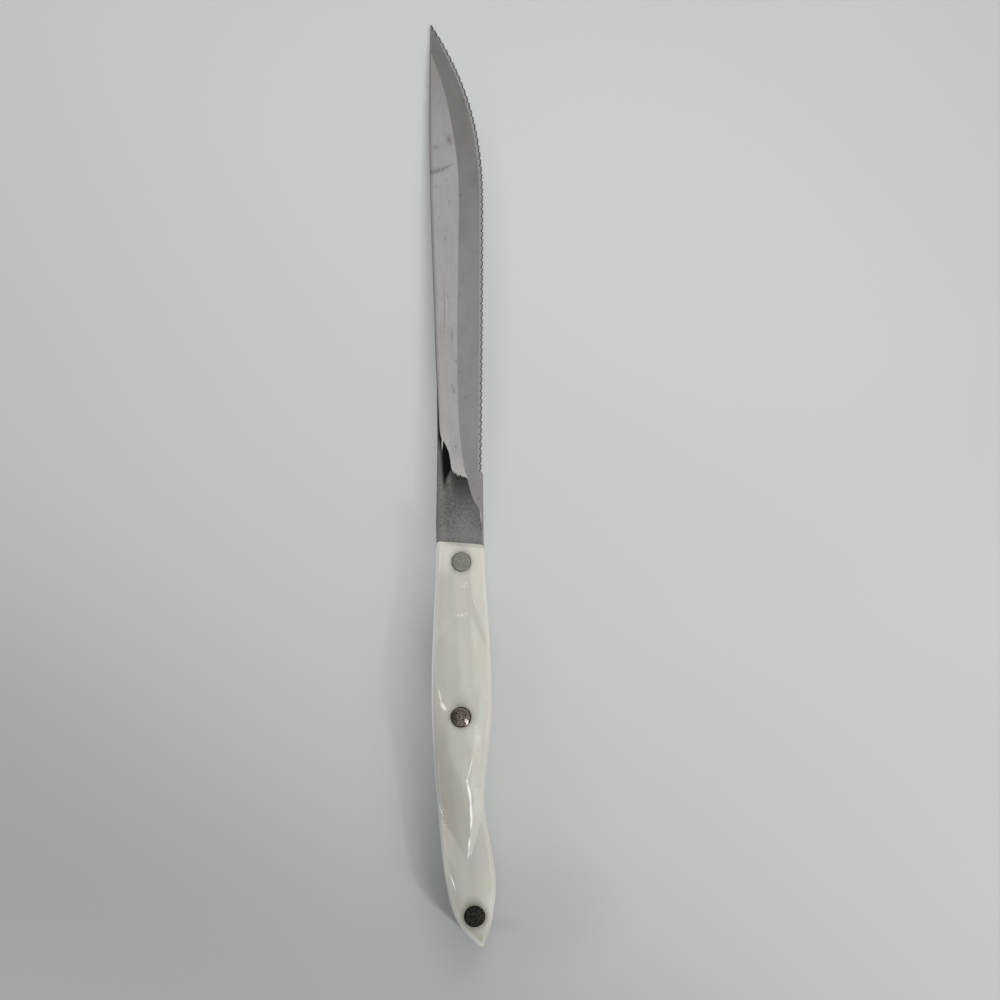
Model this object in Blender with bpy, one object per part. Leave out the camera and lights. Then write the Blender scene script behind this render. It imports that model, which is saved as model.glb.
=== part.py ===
"""Kitchen trimming knife: a serrated blade with a full tang, two handle scales and three rivets.

Lengths are in metres. The knife lies on its side: +Y points to the tip, +X to the cutting edge and
+Z up. The origin is under the middle of the knife, level with the lower scale's flat panel.

Every piece is drawn in the knife's own axes and hangs on one empty: x runs across the knife from
the spine line towards the edge, y runs along it from the front of the handle towards the tip, and
z stands on the middle plane of the blade.
"""
import math

import bmesh
import bpy
from mathutils import Vector

# Blade: reach is measured from the front of the handle towards the tip
BLADE_LENGTH = 0.1720
HEEL_WIDTH = 0.0155
HEEL_REACH = 0.0235
HEEL_STEP = 0.0005
BELLY_WIDTH = 0.0168
BELLY_REACH = 0.1140
TIP_WIDTH = 0.0005
TIP_CURVE = 2.3
BACK_CURVE = 1.2
FLAT_THICKNESS = 0.0018
EDGE_THICKNESS = 0.0004
BEVEL_WIDTH = 0.0083
PLUNGE_REACH = 0.0410
RUNOUT_REACH = 0.0240
RUNOUT_LENGTH = 0.0100
SPINE_LAND = 0.0003
TOOTH_PITCH = 0.0024
TOOTH_DEPTH = 0.00045
TOOTH_STEPS = 4

# Tang and handle: setback is measured from the front of the handle towards the butt
TANG_THICKNESS = 0.0020
HANDLE_LENGTH = 0.1334
FRONT_SLANT = 0.0013
PALM_SETBACK = 0.0520
PALM_SPINE_SWELL = 0.0024
PALM_EDGE_SWELL = 0.0021
WAIST_SETBACK = 0.0850
WAIST_WIDTH = 0.01485
BUTT_LENGTH = 0.0350
BUTT_SWELL_LENGTH = 0.0205
BUTT_WIDTH = 0.0181
BEAK_PLACE = 0.0132
BEAK_WIDTH = 0.0012
OUTLINE_STEPS = 28
# Points of the butt's two sides: length in front of the butt's end, and place across the knife
BUTT_SPINE_SIDE = ((BUTT_LENGTH, 0.0), (0.0146, 0.0028), (0.0056, 0.0069))
BUTT_EDGE_SIDE = ((BUTT_SWELL_LENGTH, BUTT_WIDTH), (0.0104, 0.0170), (0.0026, 0.01485))

# Relief of a scale: heights are measured from the middle plane of the blade
PANEL_HEIGHT = 0.0080
FRONT_HEIGHT = 0.0060
BUTT_HEIGHT = 0.0054
SHOULDER_HEIGHT = 0.0030
ROUND_INSET = 0.0070
ROUND_LEVELS = (0.0, 0.25, 0.5, 0.7, 0.9)
BEAK_DRAFT = 1.5
NOSE_CHAMFER = 0.0008
FRONT_PEAK_SETBACK = 0.0235
FRONT_PEAK_PLACE = 0.0077
PANEL_FRONT_SETBACK = 0.0479
PANEL_TAIL_SETBACK = 0.0787
PANEL_TAIL_PLACE = 0.0087
REAR_PEAK_SETBACK = 0.1043
UPPER_FALL = 0.10
LOWER_SPINE_FALL = 0.40
LOWER_EDGE_FALL = 0.35
FRONT_LAND = (0.0035, 0.0125)
FRONT_FALL = 0.18
BUTT_LAND = (0.0055, 0.0146)
BUTT_FALL = 0.22
FRONT_BLOCK_LENGTH = 0.0500
REAR_BLOCK_LENGTH = 0.0730
BLOCK_MARGIN = 0.0100

# Rivets: a sleeve with its head under the knife, and a pin with its head on top
HEAD_RADIUS = 0.0035
HEAD_THICKNESS = 0.0009
HEAD_CROWN = 0.00035
HEAD_SINK = 0.0001
BARREL_RADIUS = 0.0021
BARREL_BORE = 0.0015
BORE_FLOOR = 0.0005
FRONT_RIVET_SETBACK = 0.0059
FRONT_RIVET_PLACE = 0.0080
MIDDLE_RIVET_SETBACK = 0.0572
MIDDLE_RIVET_PLACE = 0.0072
REAR_RIVET_LENGTH = 0.0101
REAR_RIVET_PLACE = 0.0109
ROUND_STEPS = 24
CROWN_STEPS = 3

# Clearances
SEAT_GAP = 0.0003
PIN_CLEARANCE = 0.0003

STEEL = {"color": (0.34, 0.335, 0.33, 1.0), "roughness": 0.38, "metallic": 1.0}
PEARL_RESIN = {"color": (0.70, 0.68, 0.61, 1.0), "roughness": 0.22, "metallic": 0.0}
NICKEL_SILVER = {"color": (0.24, 0.23, 0.19, 1.0), "roughness": 0.42, "metallic": 1.0}


def clear_scene():
    """Remove every object of the scene."""
    for item in list(bpy.data.objects):
        bpy.data.objects.remove(item, do_unlink=True)


def make_material(name, finish):
    """Return a Principled BSDF material."""
    material = bpy.data.materials.new(name)
    material.use_nodes = True
    shader = material.node_tree.nodes["Principled BSDF"]
    shader.inputs["Base Color"].default_value = finish["color"]
    shader.inputs["Roughness"].default_value = finish["roughness"]
    shader.inputs["Metallic"].default_value = finish["metallic"]
    return material


def add_object(name, shape, parent, material=None, smooth=False):
    """Turn a bmesh into an object under parent. Without a material it is a hidden cutter."""
    bmesh.ops.recalc_face_normals(shape, faces=shape.faces)
    mesh = bpy.data.meshes.new(name)
    shape.to_mesh(mesh)
    shape.free()
    item = bpy.data.objects.new(name, mesh)
    bpy.context.collection.objects.link(item)
    item.parent = parent
    if smooth:
        mesh.shade_smooth()
        mesh.set_sharp_from_angle(angle=math.radians(30))
    if material:
        mesh.materials.append(material)
    else:
        item.hide_render = True
        item.display_type = "WIRE"
    return item


def add_boolean(item, cutter, operation):
    """Put a Boolean modifier on item."""
    modifier = item.modifiers.new(operation.title(), "BOOLEAN")
    modifier.operation = operation
    modifier.solver = "EXACT"
    modifier.object = cutter


def smooth_line(points, along):
    """Return the height at a distance along of a smooth line that keeps its points as turning points."""
    slopes = [(b[1] - a[1]) / (b[0] - a[0]) for a, b in zip(points, points[1:])]
    tangents = [slopes[0]]
    for before, after in zip(slopes, slopes[1:]):
        same_way = before * after > 0
        tangents.append(2 * before * after / (before + after) if same_way else 0.0)
    tangents.append(slopes[-1])
    span = 0
    while span < len(slopes) - 1 and along > points[span + 1][0]:
        span += 1
    (start, low), (end, high) = points[span], points[span + 1]
    length = end - start
    t = (along - start) / length
    rise = (high - low) * t * t * (3 - 2 * t)
    lead = tangents[span] * length * t * (1 - t) ** 2
    tail = tangents[span + 1] * length * t * t * (t - 1)
    return low + rise + lead + tail


def skin(loops):
    """Return a closed bmesh through equal loops of points, with a cap at each end."""
    shape = bmesh.new()
    rings = [[shape.verts.new(point) for point in loop] for loop in loops]
    count = len(rings[0])
    for lower, upper in zip(rings, rings[1:]):
        for index in range(count):
            after = (index + 1) % count
            shape.faces.new((lower[index], lower[after], upper[after], upper[index]))
    shape.faces.new(rings[0])
    shape.faces.new(rings[-1])
    bmesh.ops.triangulate(shape, faces=[face for face in shape.faces if len(face.verts) == 4])
    return shape


def turned(profile):
    """Return a bmesh turned round the z axis from (radius, height) points that end on the axis."""
    shape = bmesh.new()
    points = [shape.verts.new((radius, 0.0, height)) for radius, height in profile]
    lines = [shape.edges.new(pair) for pair in zip(points, points[1:])]
    bmesh.ops.spin(shape, geom=points + lines, axis=(0, 0, 1), cent=(0, 0, 0),
                   angle=2 * math.pi, steps=ROUND_STEPS, use_merge=True)
    bmesh.ops.remove_doubles(shape, verts=shape.verts, dist=SEAT_GAP / 100)
    return shape


def edge_width(reach):
    """Return the distance from spine to edge line at a reach, without the teeth."""
    if reach <= HEEL_REACH:
        return HEEL_WIDTH
    if reach <= BELLY_REACH:
        back = (BELLY_REACH - reach) / (BELLY_REACH - HEEL_REACH)
        return BELLY_WIDTH - (BELLY_WIDTH - HEEL_WIDTH + HEEL_STEP) * back ** BACK_CURVE
    ahead = (reach - BELLY_REACH) / (BLADE_LENGTH - BELLY_REACH)
    return BELLY_WIDTH - (BELLY_WIDTH - TIP_WIDTH) * ahead ** TIP_CURVE


def blade_stations():
    """Return (reach, tooth depth) pairs from the handle to the tip, with the points of every tooth."""
    stations = [(HEEL_REACH * step / TOOTH_STEPS, 0.0) for step in range(TOOTH_STEPS)]
    reach = HEEL_REACH
    step_length = TOOTH_PITCH / TOOTH_STEPS
    tooth_step = 0
    while reach < BLADE_LENGTH - TOOTH_PITCH / 2:
        phase = tooth_step / TOOTH_STEPS
        stations.append((reach, TOOTH_DEPTH * (1 - (2 * phase - 1) ** 2)))
        slope = (edge_width(reach + step_length) - edge_width(reach)) / step_length
        reach += step_length / math.hypot(1.0, slope)
        tooth_step = (tooth_step + 1) % TOOTH_STEPS
    return stations + [(BLADE_LENGTH, 0.0)]


def blade_section(reach, tooth_depth):
    """Return the six points of the blade's cross-section at a reach."""
    whole_width = edge_width(reach)
    width = whole_width - min(tooth_depth, whole_width / 3)
    plunge = min(1.0, reach / PLUNGE_REACH)
    runout = min(1.0, max(0.0, (reach - RUNOUT_REACH) / RUNOUT_LENGTH))
    body = TANG_THICKNESS + (FLAT_THICKNESS - TANG_THICKNESS) * runout
    bevel = max(SPINE_LAND, BEVEL_WIDTH * plunge)
    land = max(whole_width - bevel, min(SPINE_LAND, whole_width / 3))
    thinning = min(1.0, whole_width / BEVEL_WIDTH)
    thickness = EDGE_THICKNESS + (body - EDGE_THICKNESS) * thinning
    edge = thickness + (EDGE_THICKNESS - thickness) * plunge
    return section_points(reach, (0.0, land, width), (thickness, thickness, edge))


def section_points(along, places, thicknesses):
    """Return a closed cross-section, from the spine over the lower side to the edge and back."""
    upper = [(place, along, thick / 2) for place, thick in zip(places, thicknesses)]
    lower = [(place, along, -thick / 2) for place, thick in zip(places, thicknesses)]
    return lower + upper[::-1]


def handle_sides(setback):
    """Return the handle's places across the knife on the spine side and on the edge side."""
    spine_side = [(0.0, 0.0), (PALM_SETBACK, -PALM_SPINE_SWELL)]
    spine_side += [(HANDLE_LENGTH - length, place) for length, place in BUTT_SPINE_SIDE]
    spine_side.append((HANDLE_LENGTH, BEAK_PLACE - BEAK_WIDTH / 2))
    edge_side = [(0.0, HEEL_WIDTH), (PALM_SETBACK, HEEL_WIDTH + PALM_EDGE_SWELL),
                 (WAIST_SETBACK, WAIST_WIDTH)]
    edge_side += [(HANDLE_LENGTH - length, place) for length, place in BUTT_EDGE_SIDE]
    edge_side.append((HANDLE_LENGTH, BEAK_PLACE + BEAK_WIDTH / 2))
    return smooth_line(spine_side, setback), smooth_line(edge_side, setback)


def handle_setbacks(length):
    """Return setbacks from the front to a length, closer together towards the butt."""
    return [length * math.sin(math.pi / 2 * step / OUTLINE_STEPS) for step in range(OUTLINE_STEPS + 1)]


def front_line(place):
    """Return how far the slanted front of the scales stands ahead of its middle."""
    return FRONT_SLANT * (0.5 - place / HEEL_WIDTH)


def handle_loop(height, inset):
    """Return the handle's outline at a height, drawn in from its sides and its butt."""
    spine_side, edge_side = [], []
    for setback in handle_setbacks(HANDLE_LENGTH - BEAK_DRAFT * inset):
        spine, edge = handle_sides(setback)
        spine, edge = spine + inset, edge - inset
        spine_side.append((spine, (front_line(spine) if setback == 0 else 0.0) - setback, height))
        edge_side.append((edge, (front_line(edge) if setback == 0 else 0.0) - setback, height))
    return spine_side + edge_side[::-1]


def build_blade(axes, material):
    """Model blade and tang as one piece, and return it."""
    loops = []
    for setback in handle_setbacks(HANDLE_LENGTH)[:0:-1]:
        spine, edge = handle_sides(setback)
        land = edge - min(SPINE_LAND, (edge - spine) / 3)
        loops.append(section_points(-setback, (spine, land, edge), [TANG_THICKNESS] * 3))
    loops += [blade_section(reach, depth) for reach, depth in blade_stations()]
    return add_object("blade", skin(loops), axes, material)


def cut_block(low, high, planes):
    """Return a box from corner low to corner high with everything outside the planes cut away."""
    shape = bmesh.new()
    bmesh.ops.create_cube(shape, size=1.0)
    size = Vector(high) - Vector(low)
    bmesh.ops.scale(shape, vec=size, verts=shape.verts)
    bmesh.ops.translate(shape, vec=Vector(low) + size / 2, verts=shape.verts)
    for point, normal in planes:
        geometry = shape.verts[:] + shape.edges[:] + shape.faces[:]
        cut = bmesh.ops.bisect_plane(shape, geom=geometry, plane_co=point, plane_no=normal,
                                     clear_outer=True)
        rim = [part for part in cut["geom_cut"] if isinstance(part, bmesh.types.BMEdge)]
        if rim:
            bmesh.ops.contextual_create(shape, geom=rim)
    return shape


def falling_plane(place, setback, height, across, ahead=0.0):
    """Return a plane through a point that falls per unit of x by across and per unit of y by ahead."""
    return Vector((place, -setback, height)), Vector((across, ahead, 1.0))


def land_planes(height, land, fall):
    """Return a level top between two places, falling away on both sides of them."""
    spine_place, edge_place = land
    return [falling_plane(0.0, 0.0, height, 0.0),
            falling_plane(spine_place, 0.0, height, -fall),
            falling_plane(edge_place, 0.0, height, fall)]


def relief_blocks():
    """Return the three blocks whose tops, joined, are the outer surface of the upper scale."""
    low, high = -BLOCK_MARGIN, BUTT_WIDTH + BLOCK_MARGIN
    ceiling = PANEL_HEIGHT + BLOCK_MARGIN
    slant = FRONT_SLANT / HEEL_WIDTH
    nose = (Vector((HEEL_WIDTH / 2, 0.0, FRONT_HEIGHT - NOSE_CHAMFER)), Vector((slant, 1.0, 1.0)))
    front = cut_block((low, -FRONT_BLOCK_LENGTH, -BLOCK_MARGIN), (high, BLOCK_MARGIN, ceiling),
                      land_planes(FRONT_HEIGHT, FRONT_LAND, FRONT_FALL) + [nose])
    upper_fall = (PANEL_HEIGHT - FRONT_HEIGHT) / (PANEL_FRONT_SETBACK - FRONT_PEAK_SETBACK)
    lower_fall = (PANEL_HEIGHT - BUTT_HEIGHT) / (REAR_PEAK_SETBACK - PANEL_TAIL_SETBACK)
    upper_peak = (FRONT_PEAK_PLACE, FRONT_PEAK_SETBACK, FRONT_HEIGHT)
    lower_peak = (PANEL_TAIL_PLACE, REAR_PEAK_SETBACK, BUTT_HEIGHT)
    middle = cut_block((low, -HANDLE_LENGTH, -BLOCK_MARGIN / 2), (high, 0.0, ceiling),
                       [falling_plane(0.0, 0.0, PANEL_HEIGHT, 0.0),
                        falling_plane(*upper_peak, -UPPER_FALL, upper_fall),
                        falling_plane(*upper_peak, UPPER_FALL, upper_fall),
                        falling_plane(*lower_peak, -LOWER_SPINE_FALL, -lower_fall),
                        falling_plane(*lower_peak, LOWER_EDGE_FALL, -lower_fall)])
    rear = cut_block((low, -HANDLE_LENGTH - BLOCK_MARGIN, -BLOCK_MARGIN * 0.75),
                     (high, REAR_BLOCK_LENGTH - HANDLE_LENGTH, ceiling),
                     land_planes(BUTT_HEIGHT, BUTT_LAND, BUTT_FALL))
    return {"front": front, "middle": middle, "rear": rear}


def scale_body():
    """Return the upper scale as a rounded body inside the handle's outline, without its relief."""
    seat = TANG_THICKNESS / 2 + SEAT_GAP
    round_height = (PANEL_HEIGHT + SEAT_GAP - SHOULDER_HEIGHT) / ROUND_LEVELS[-1]
    loops = [handle_loop(seat, 0.0)]
    for level in ROUND_LEVELS:
        inset = ROUND_INSET * (1 - math.sqrt(1 - level * level))
        loops.append(handle_loop(SHOULDER_HEIGHT + round_height * level, inset))
    return skin(loops)


def flip_down(shape):
    """Mirror a bmesh to the lower side of the blade."""
    bmesh.ops.scale(shape, vec=(1, 1, -1), verts=shape.verts)
    bmesh.ops.reverse_faces(shape, faces=shape.faces)


def build_scale(name, axes, material, lower):
    """Model one handle scale: the rounded body cut by the relief blocks."""
    shapes = {"body": scale_body(), **relief_blocks()}
    if lower:
        for shape in shapes.values():
            flip_down(shape)
    scale = add_object(name, shapes.pop("body"), axes, material)
    blocks = [add_object(f"{name}_{part}_block", shape, axes) for part, shape in shapes.items()]
    for block in blocks[1:]:
        add_boolean(blocks[0], block, "UNION")
    add_boolean(scale, blocks[0], "INTERSECT")
    return scale


def rivet_heights(surface):
    """Return a rivet head's crown, rim and underside for a panel height."""
    crown = surface - HEAD_SINK
    rim = crown - HEAD_CROWN
    return crown, rim, rim - HEAD_THICKNESS


def head_profile(surface):
    """Return a low domed head from its middle to its rim and underside."""
    crown, rim, underside = rivet_heights(surface)
    profile = []
    for step in range(CROWN_STEPS + 1):
        share = step / CROWN_STEPS
        profile.append((HEAD_RADIUS * share, crown + (rim - crown) * share * share))
    return profile + [(HEAD_RADIUS, underside)]


def build_rivet(name, place, setback, surface, axes, material):
    """Model one two-part rivet, and return the cutter for its holes."""
    underside = rivet_heights(surface)[2]
    bore_floor = BORE_FLOOR - underside
    shank = BARREL_BORE - PIN_CLEARANCE
    pin = head_profile(surface) + [(shank, underside), (shank, bore_floor + SEAT_GAP),
                                   (0.0, bore_floor + SEAT_GAP)]
    sleeve = [(radius, -height) for radius, height in head_profile(surface)]
    sleeve += [(BARREL_RADIUS, -underside), (BARREL_RADIUS, underside - SEAT_GAP),
               (BARREL_BORE, underside - SEAT_GAP), (BARREL_BORE, bore_floor), (0.0, bore_floor)]
    seat, wide, narrow = underside - SEAT_GAP, HEAD_RADIUS + SEAT_GAP, BARREL_RADIUS + SEAT_GAP
    top = surface + BLOCK_MARGIN
    holes = [(0.0, top), (wide, top), (wide, seat), (narrow, seat),
             (narrow, -seat), (wide, -seat), (wide, -top), (0.0, -top)]
    made = [add_object(f"{name}_pin", turned(pin), axes, material, smooth=True),
            add_object(f"{name}_sleeve", turned(sleeve), axes, material, smooth=True),
            add_object(f"{name}_holes", turned(holes), axes)]
    for item in made:
        item.location = (place, -setback, 0.0)
    return made[-1]


def build_knife():
    """Model the whole knife."""
    clear_scene()
    axes = bpy.data.objects.new("knife_axes", None)
    bpy.context.collection.objects.link(axes)
    steel = make_material("steel", STEEL)
    resin = make_material("pearl_resin", PEARL_RESIN)
    nickel = make_material("nickel_silver", NICKEL_SILVER)
    blade = build_blade(axes, steel)
    pieces = [blade, build_scale("right_scale", axes, resin, lower=False),
              build_scale("left_scale", axes, resin, lower=True)]
    rivets = (("front_rivet", FRONT_RIVET_PLACE, FRONT_RIVET_SETBACK, FRONT_HEIGHT),
              ("middle_rivet", MIDDLE_RIVET_PLACE, MIDDLE_RIVET_SETBACK, PANEL_HEIGHT),
              ("rear_rivet", REAR_RIVET_PLACE, HANDLE_LENGTH - REAR_RIVET_LENGTH, BUTT_HEIGHT))
    for name, place, setback, surface in rivets:
        holes = build_rivet(name, place, setback, surface, axes, nickel)
        for piece in pieces:
            add_boolean(piece, holes, "DIFFERENCE")
    across = [vertex.co.x for vertex in blade.data.vertices]
    middle = (min(across) + max(across)) / 2
    axes.location = (-middle, (HANDLE_LENGTH - BLADE_LENGTH) / 2, PANEL_HEIGHT)


build_knife()
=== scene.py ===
"""Looks of a kitchen trimming knife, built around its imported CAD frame.

The knife lies on its side, in metres: +Y runs along the spine to the tip, +X across the blade to
the cutting edge and +Z up. Shapes are drawn in the knife's own axes: across from the spine line,
along from the front of the handle to the tip, and up from the middle plane of the blade. A reach is
measured from the front of the handle to the tip, and a setback from there to the butt.
"""
import logging
import math
from dataclasses import dataclass, field
from enum import Enum
from typing import Any, Callable, Optional, Union

import bpy
import numpy as np
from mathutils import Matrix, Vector


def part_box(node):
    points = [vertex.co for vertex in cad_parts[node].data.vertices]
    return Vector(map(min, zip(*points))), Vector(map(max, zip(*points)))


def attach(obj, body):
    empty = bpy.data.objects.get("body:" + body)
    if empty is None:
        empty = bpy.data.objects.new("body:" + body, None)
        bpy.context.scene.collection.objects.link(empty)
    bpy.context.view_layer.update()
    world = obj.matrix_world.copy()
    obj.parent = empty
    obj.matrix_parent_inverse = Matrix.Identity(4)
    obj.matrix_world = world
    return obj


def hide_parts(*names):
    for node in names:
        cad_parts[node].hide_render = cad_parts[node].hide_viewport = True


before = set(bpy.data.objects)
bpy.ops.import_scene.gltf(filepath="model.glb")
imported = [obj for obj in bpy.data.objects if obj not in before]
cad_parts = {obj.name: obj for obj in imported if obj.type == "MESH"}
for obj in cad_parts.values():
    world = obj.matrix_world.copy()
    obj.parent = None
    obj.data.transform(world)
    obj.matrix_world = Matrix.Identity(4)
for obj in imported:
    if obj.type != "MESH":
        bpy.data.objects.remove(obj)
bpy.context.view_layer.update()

BODY = "root"
# Points closer than this are merged
MERGE_DISTANCE = 1e-6
# Upright part of the normal above which a face counts as level
LEVEL_FACE = 0.9
# Scale that flattens the upright direction, so that only the plan of the knife counts
PLAN_ONLY = 1e3
# Stretch of coordinates that are left as they are
EVEN = (1, 1, 1)
# Value that a cloud noise swings round
NOISE_MIDDLE = 0.5
log = logging.getLogger("trimming_knife")

Value = Union["Wire", float, tuple]
Colour = tuple[float, float, float]
Stretch = tuple[float, float, float]
# Where something begins and where it is full
Fade = tuple[float, float]
Points = tuple[tuple[float, float], ...]


class Slot(Enum):
    """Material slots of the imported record."""

    STEEL = "steel"
    RESIN = "pearl_resin"
    RIVET = "nickel_silver"


class Side(Enum):
    """Side of the blade that a piece stands on."""

    UPPER = 1
    LOWER = -1


class Tarnish(Enum):
    """How far a rivet has darkened."""

    CLEAN = "clean"
    BROWN = "brown"
    BLACK = "black"


def smooth_line(points: Points, along: np.ndarray) -> np.ndarray:
    """Read a smooth line that keeps its points as turning points.

    Args:
        points: Distance and height of each point, with rising distances.
        along: Distances to read the line at.

    Returns:
        The heights of the line.
    """
    reach, height = np.array(points).T
    slope = np.diff(height) / np.diff(reach)
    tangent = np.concatenate([slope[:1], np.zeros(len(slope) - 1), slope[-1:]])
    before, after = slope[:-1], slope[1:]
    same_way = before * after > 0
    total = np.where(same_way, before + after, 1.0)
    tangent[1:-1] = np.where(same_way, 2 * before * after / total, 0.0)
    span = np.clip(np.searchsorted(reach, along) - 1, 0, len(slope) - 1)
    length = (reach[1:] - reach[:-1])[span]
    t = np.clip((along - reach[span]) / length, 0.0, 1.0)
    rise = (height[span + 1] - height[span]) * t * t * (3 - 2 * t)
    lead = tangent[span] * length * t * (1 - t) ** 2
    tail = tangent[span + 1] * length * t * t * (t - 1)
    return height[span] + rise + lead + tail


def soft_step(low: float, high: float, value: np.ndarray) -> np.ndarray:
    """Rise smoothly from 0 at low to 1 at high."""
    t = np.clip((value - low) / (high - low), 0.0, 1.0)
    return t * t * (3 - 2 * t)


def soft_ramp(value: np.ndarray, radius: float) -> np.ndarray:
    """Return zero below zero and the value above it, rounded over a radius."""
    return (value + np.sqrt(value * value + radius * radius)) / 2


def soft_min(one: np.ndarray, other: np.ndarray, radius: float) -> np.ndarray:
    """Return the lower of two surfaces, with their crease rounded."""
    return one - soft_ramp(one - other, radius)


def soft_max(one: np.ndarray, other: np.ndarray, radius: float) -> np.ndarray:
    """Return the higher of two surfaces, with their crease rounded."""
    return other + soft_ramp(one - other, radius)


def column(values: np.ndarray) -> np.ndarray:
    """Turn one value per row into a column, which then spreads over all columns."""
    return values[:, None]


class Bench:
    """Hand tools: each method is one modelling step on one piece."""

    @staticmethod
    def take(piece: bpy.types.Object) -> None:
        """Make a piece the only selected object, in object mode.

        Args:
            piece: Piece to work on.
        """
        if bpy.context.object and bpy.context.object.mode != "OBJECT":
            bpy.ops.object.mode_set(mode="OBJECT")
        bpy.ops.object.select_all(action="DESELECT")
        piece.select_set(True)
        bpy.context.view_layer.objects.active = piece

    @staticmethod
    def added(name: str) -> bpy.types.Object:
        """Name the primitive that was just added and move its place into its mesh.

        Args:
            name: Name of the new piece.

        Returns:
            The piece.
        """
        piece = bpy.context.object
        piece.name = piece.data.name = name
        bpy.ops.object.transform_apply(location=True, rotation=True, scale=True)
        return piece

    @staticmethod
    def grid(name: str, places: np.ndarray, values: dict[str, np.ndarray]) -> bpy.types.Object:
        """Add a grid and pull its points onto a surface.

        Args:
            name: Name of the new piece.
            places: Points of the surface, as rows by columns by three.
            values: Named values of the surface's points, kept as attributes.

        Returns:
            The open sheet.
        """
        bpy.ops.object.select_all(action="DESELECT")
        rows, columns = places.shape[0], places.shape[1]
        bpy.ops.mesh.primitive_grid_add(x_subdivisions=columns - 1, y_subdivisions=rows - 1, size=1)
        sheet = Bench.added(name)
        sheet.data.vertices.foreach_set("co", places.reshape(-1).astype(np.float32))
        for label, value in values.items():
            layer = sheet.data.attributes.new(label, "FLOAT", "POINT")
            layer.data.foreach_set("value", value.reshape(-1).astype(np.float32))
        sheet.data.update()
        return sheet

    @staticmethod
    def clear_picks(piece: bpy.types.Object, kind: str) -> None:
        """Deselect all of a piece and leave it in object mode.

        Args:
            piece: Piece to work on.
            kind: Kind of element to pick next, VERT or FACE.
        """
        Bench.take(piece)
        bpy.ops.object.mode_set(mode="EDIT")
        bpy.ops.mesh.select_mode(type=kind)
        bpy.ops.mesh.select_all(action="DESELECT")
        bpy.ops.object.mode_set(mode="OBJECT")

    @staticmethod
    def pick_faces(piece: bpy.types.Object, test: Callable[[Any], bool]) -> None:
        """Enter edit mode with only the faces that pass a test selected.

        Args:
            piece: Piece to work on.
            test: Says of a face whether it is wanted.
        """
        Bench.clear_picks(piece, "FACE")
        for face in piece.data.polygons:
            face.select = test(face)
        bpy.ops.object.mode_set(mode="EDIT")

    @staticmethod
    def close(piece: bpy.types.Object, chosen: np.ndarray) -> None:
        """Close the rim through some points with one face.

        Args:
            piece: Piece to work on.
            chosen: Says of each point whether it is on the rim.
        """
        Bench.clear_picks(piece, "VERT")
        piece.data.vertices.foreach_set("select", chosen)
        bpy.ops.object.mode_set(mode="EDIT")
        bpy.ops.mesh.select_mode(type="EDGE")
        bpy.ops.mesh.edge_face_add()
        bpy.ops.object.mode_set(mode="OBJECT")

    @staticmethod
    def point_outwards(piece: bpy.types.Object) -> None:
        """Merge doubled points and turn all faces outwards.

        Args:
            piece: Piece to work on.
        """
        Bench.take(piece)
        bpy.ops.object.mode_set(mode="EDIT")
        bpy.ops.mesh.select_all(action="SELECT")
        bpy.ops.mesh.remove_doubles(threshold=MERGE_DISTANCE)
        bpy.ops.mesh.normals_make_consistent(inside=False)
        bpy.ops.object.mode_set(mode="OBJECT")

    @staticmethod
    def cut(piece: bpy.types.Object, cutter: bpy.types.Object) -> None:
        """Cut a cutter's shape out of a piece and throw the cutter away.

        Args:
            piece: Piece to cut.
            cutter: Shape that the piece loses.
        """
        Bench.take(piece)
        bpy.ops.object.modifier_add(type="BOOLEAN")
        modifier = piece.modifiers[-1]
        modifier.operation = "DIFFERENCE"
        modifier.solver = "EXACT"
        modifier.object = cutter
        bpy.ops.object.modifier_apply(modifier=modifier.name)
        bpy.data.objects.remove(cutter)

    @staticmethod
    def flipped_copy(piece: bpy.types.Object, name: str, middle: float) -> bpy.types.Object:
        """Copy a piece with its own mesh, mirrored through a level plane.

        Args:
            piece: Piece to copy.
            name: Name of the copy.
            middle: Height of the plane.

        Returns:
            The mirrored copy.
        """
        Bench.take(piece)
        bpy.ops.object.duplicate(linked=False)
        copy = Bench.added(name)
        Bench.flip(copy, middle)
        return copy

    @staticmethod
    def flip(piece: bpy.types.Object, middle: float) -> None:
        """Mirror a piece through a level plane.

        Args:
            piece: Piece to mirror.
            middle: Height of the plane.
        """
        Bench.take(piece)
        bpy.ops.object.mode_set(mode="EDIT")
        bpy.ops.mesh.select_all(action="SELECT")
        bpy.ops.transform.resize(value=(1, 1, -1), center_override=(0, 0, middle))
        bpy.ops.object.mode_set(mode="OBJECT")
        Bench.point_outwards(piece)

    @staticmethod
    def dress(piece: bpy.types.Object, node: str, slot: Slot, material: bpy.types.Material,
              crease: float) -> None:
        """Give a piece its shading, finish and place in the frame.

        Args:
            piece: Finished mesh.
            node: CAD node that the piece stands for.
            slot: Slot of the record that its finish belongs to; not used.
            material: Finish of the piece.
            crease: Angle in degrees above which an edge stays sharp.
        """
        Bench.take(piece)
        bpy.ops.object.shade_smooth_by_angle(angle=math.radians(crease))
        piece.data.materials.clear()
        piece.data.materials.append(material)
        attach(piece, BODY)
        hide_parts(node)
        log.info("%s: %d faces", piece.name, len(piece.data.polygons))


@dataclass(frozen=True)
class KnifeAxes:
    """Where the knife's own axes lie in the frame."""

    spine: float
    front: float
    middle: float

    def placed(self, across: np.ndarray, along: np.ndarray, up: np.ndarray) -> np.ndarray:
        """Turn knife coordinates into points of the frame."""
        across, along, up = np.broadcast_arrays(across, along, up)
        return np.stack([across + self.spine, along + self.front, up + self.middle], axis=-1)


# Axes of the frame itself, for what isn't placed by the knife
FRAME_AXES = KnifeAxes(0.0, 0.0, 0.0)


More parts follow.
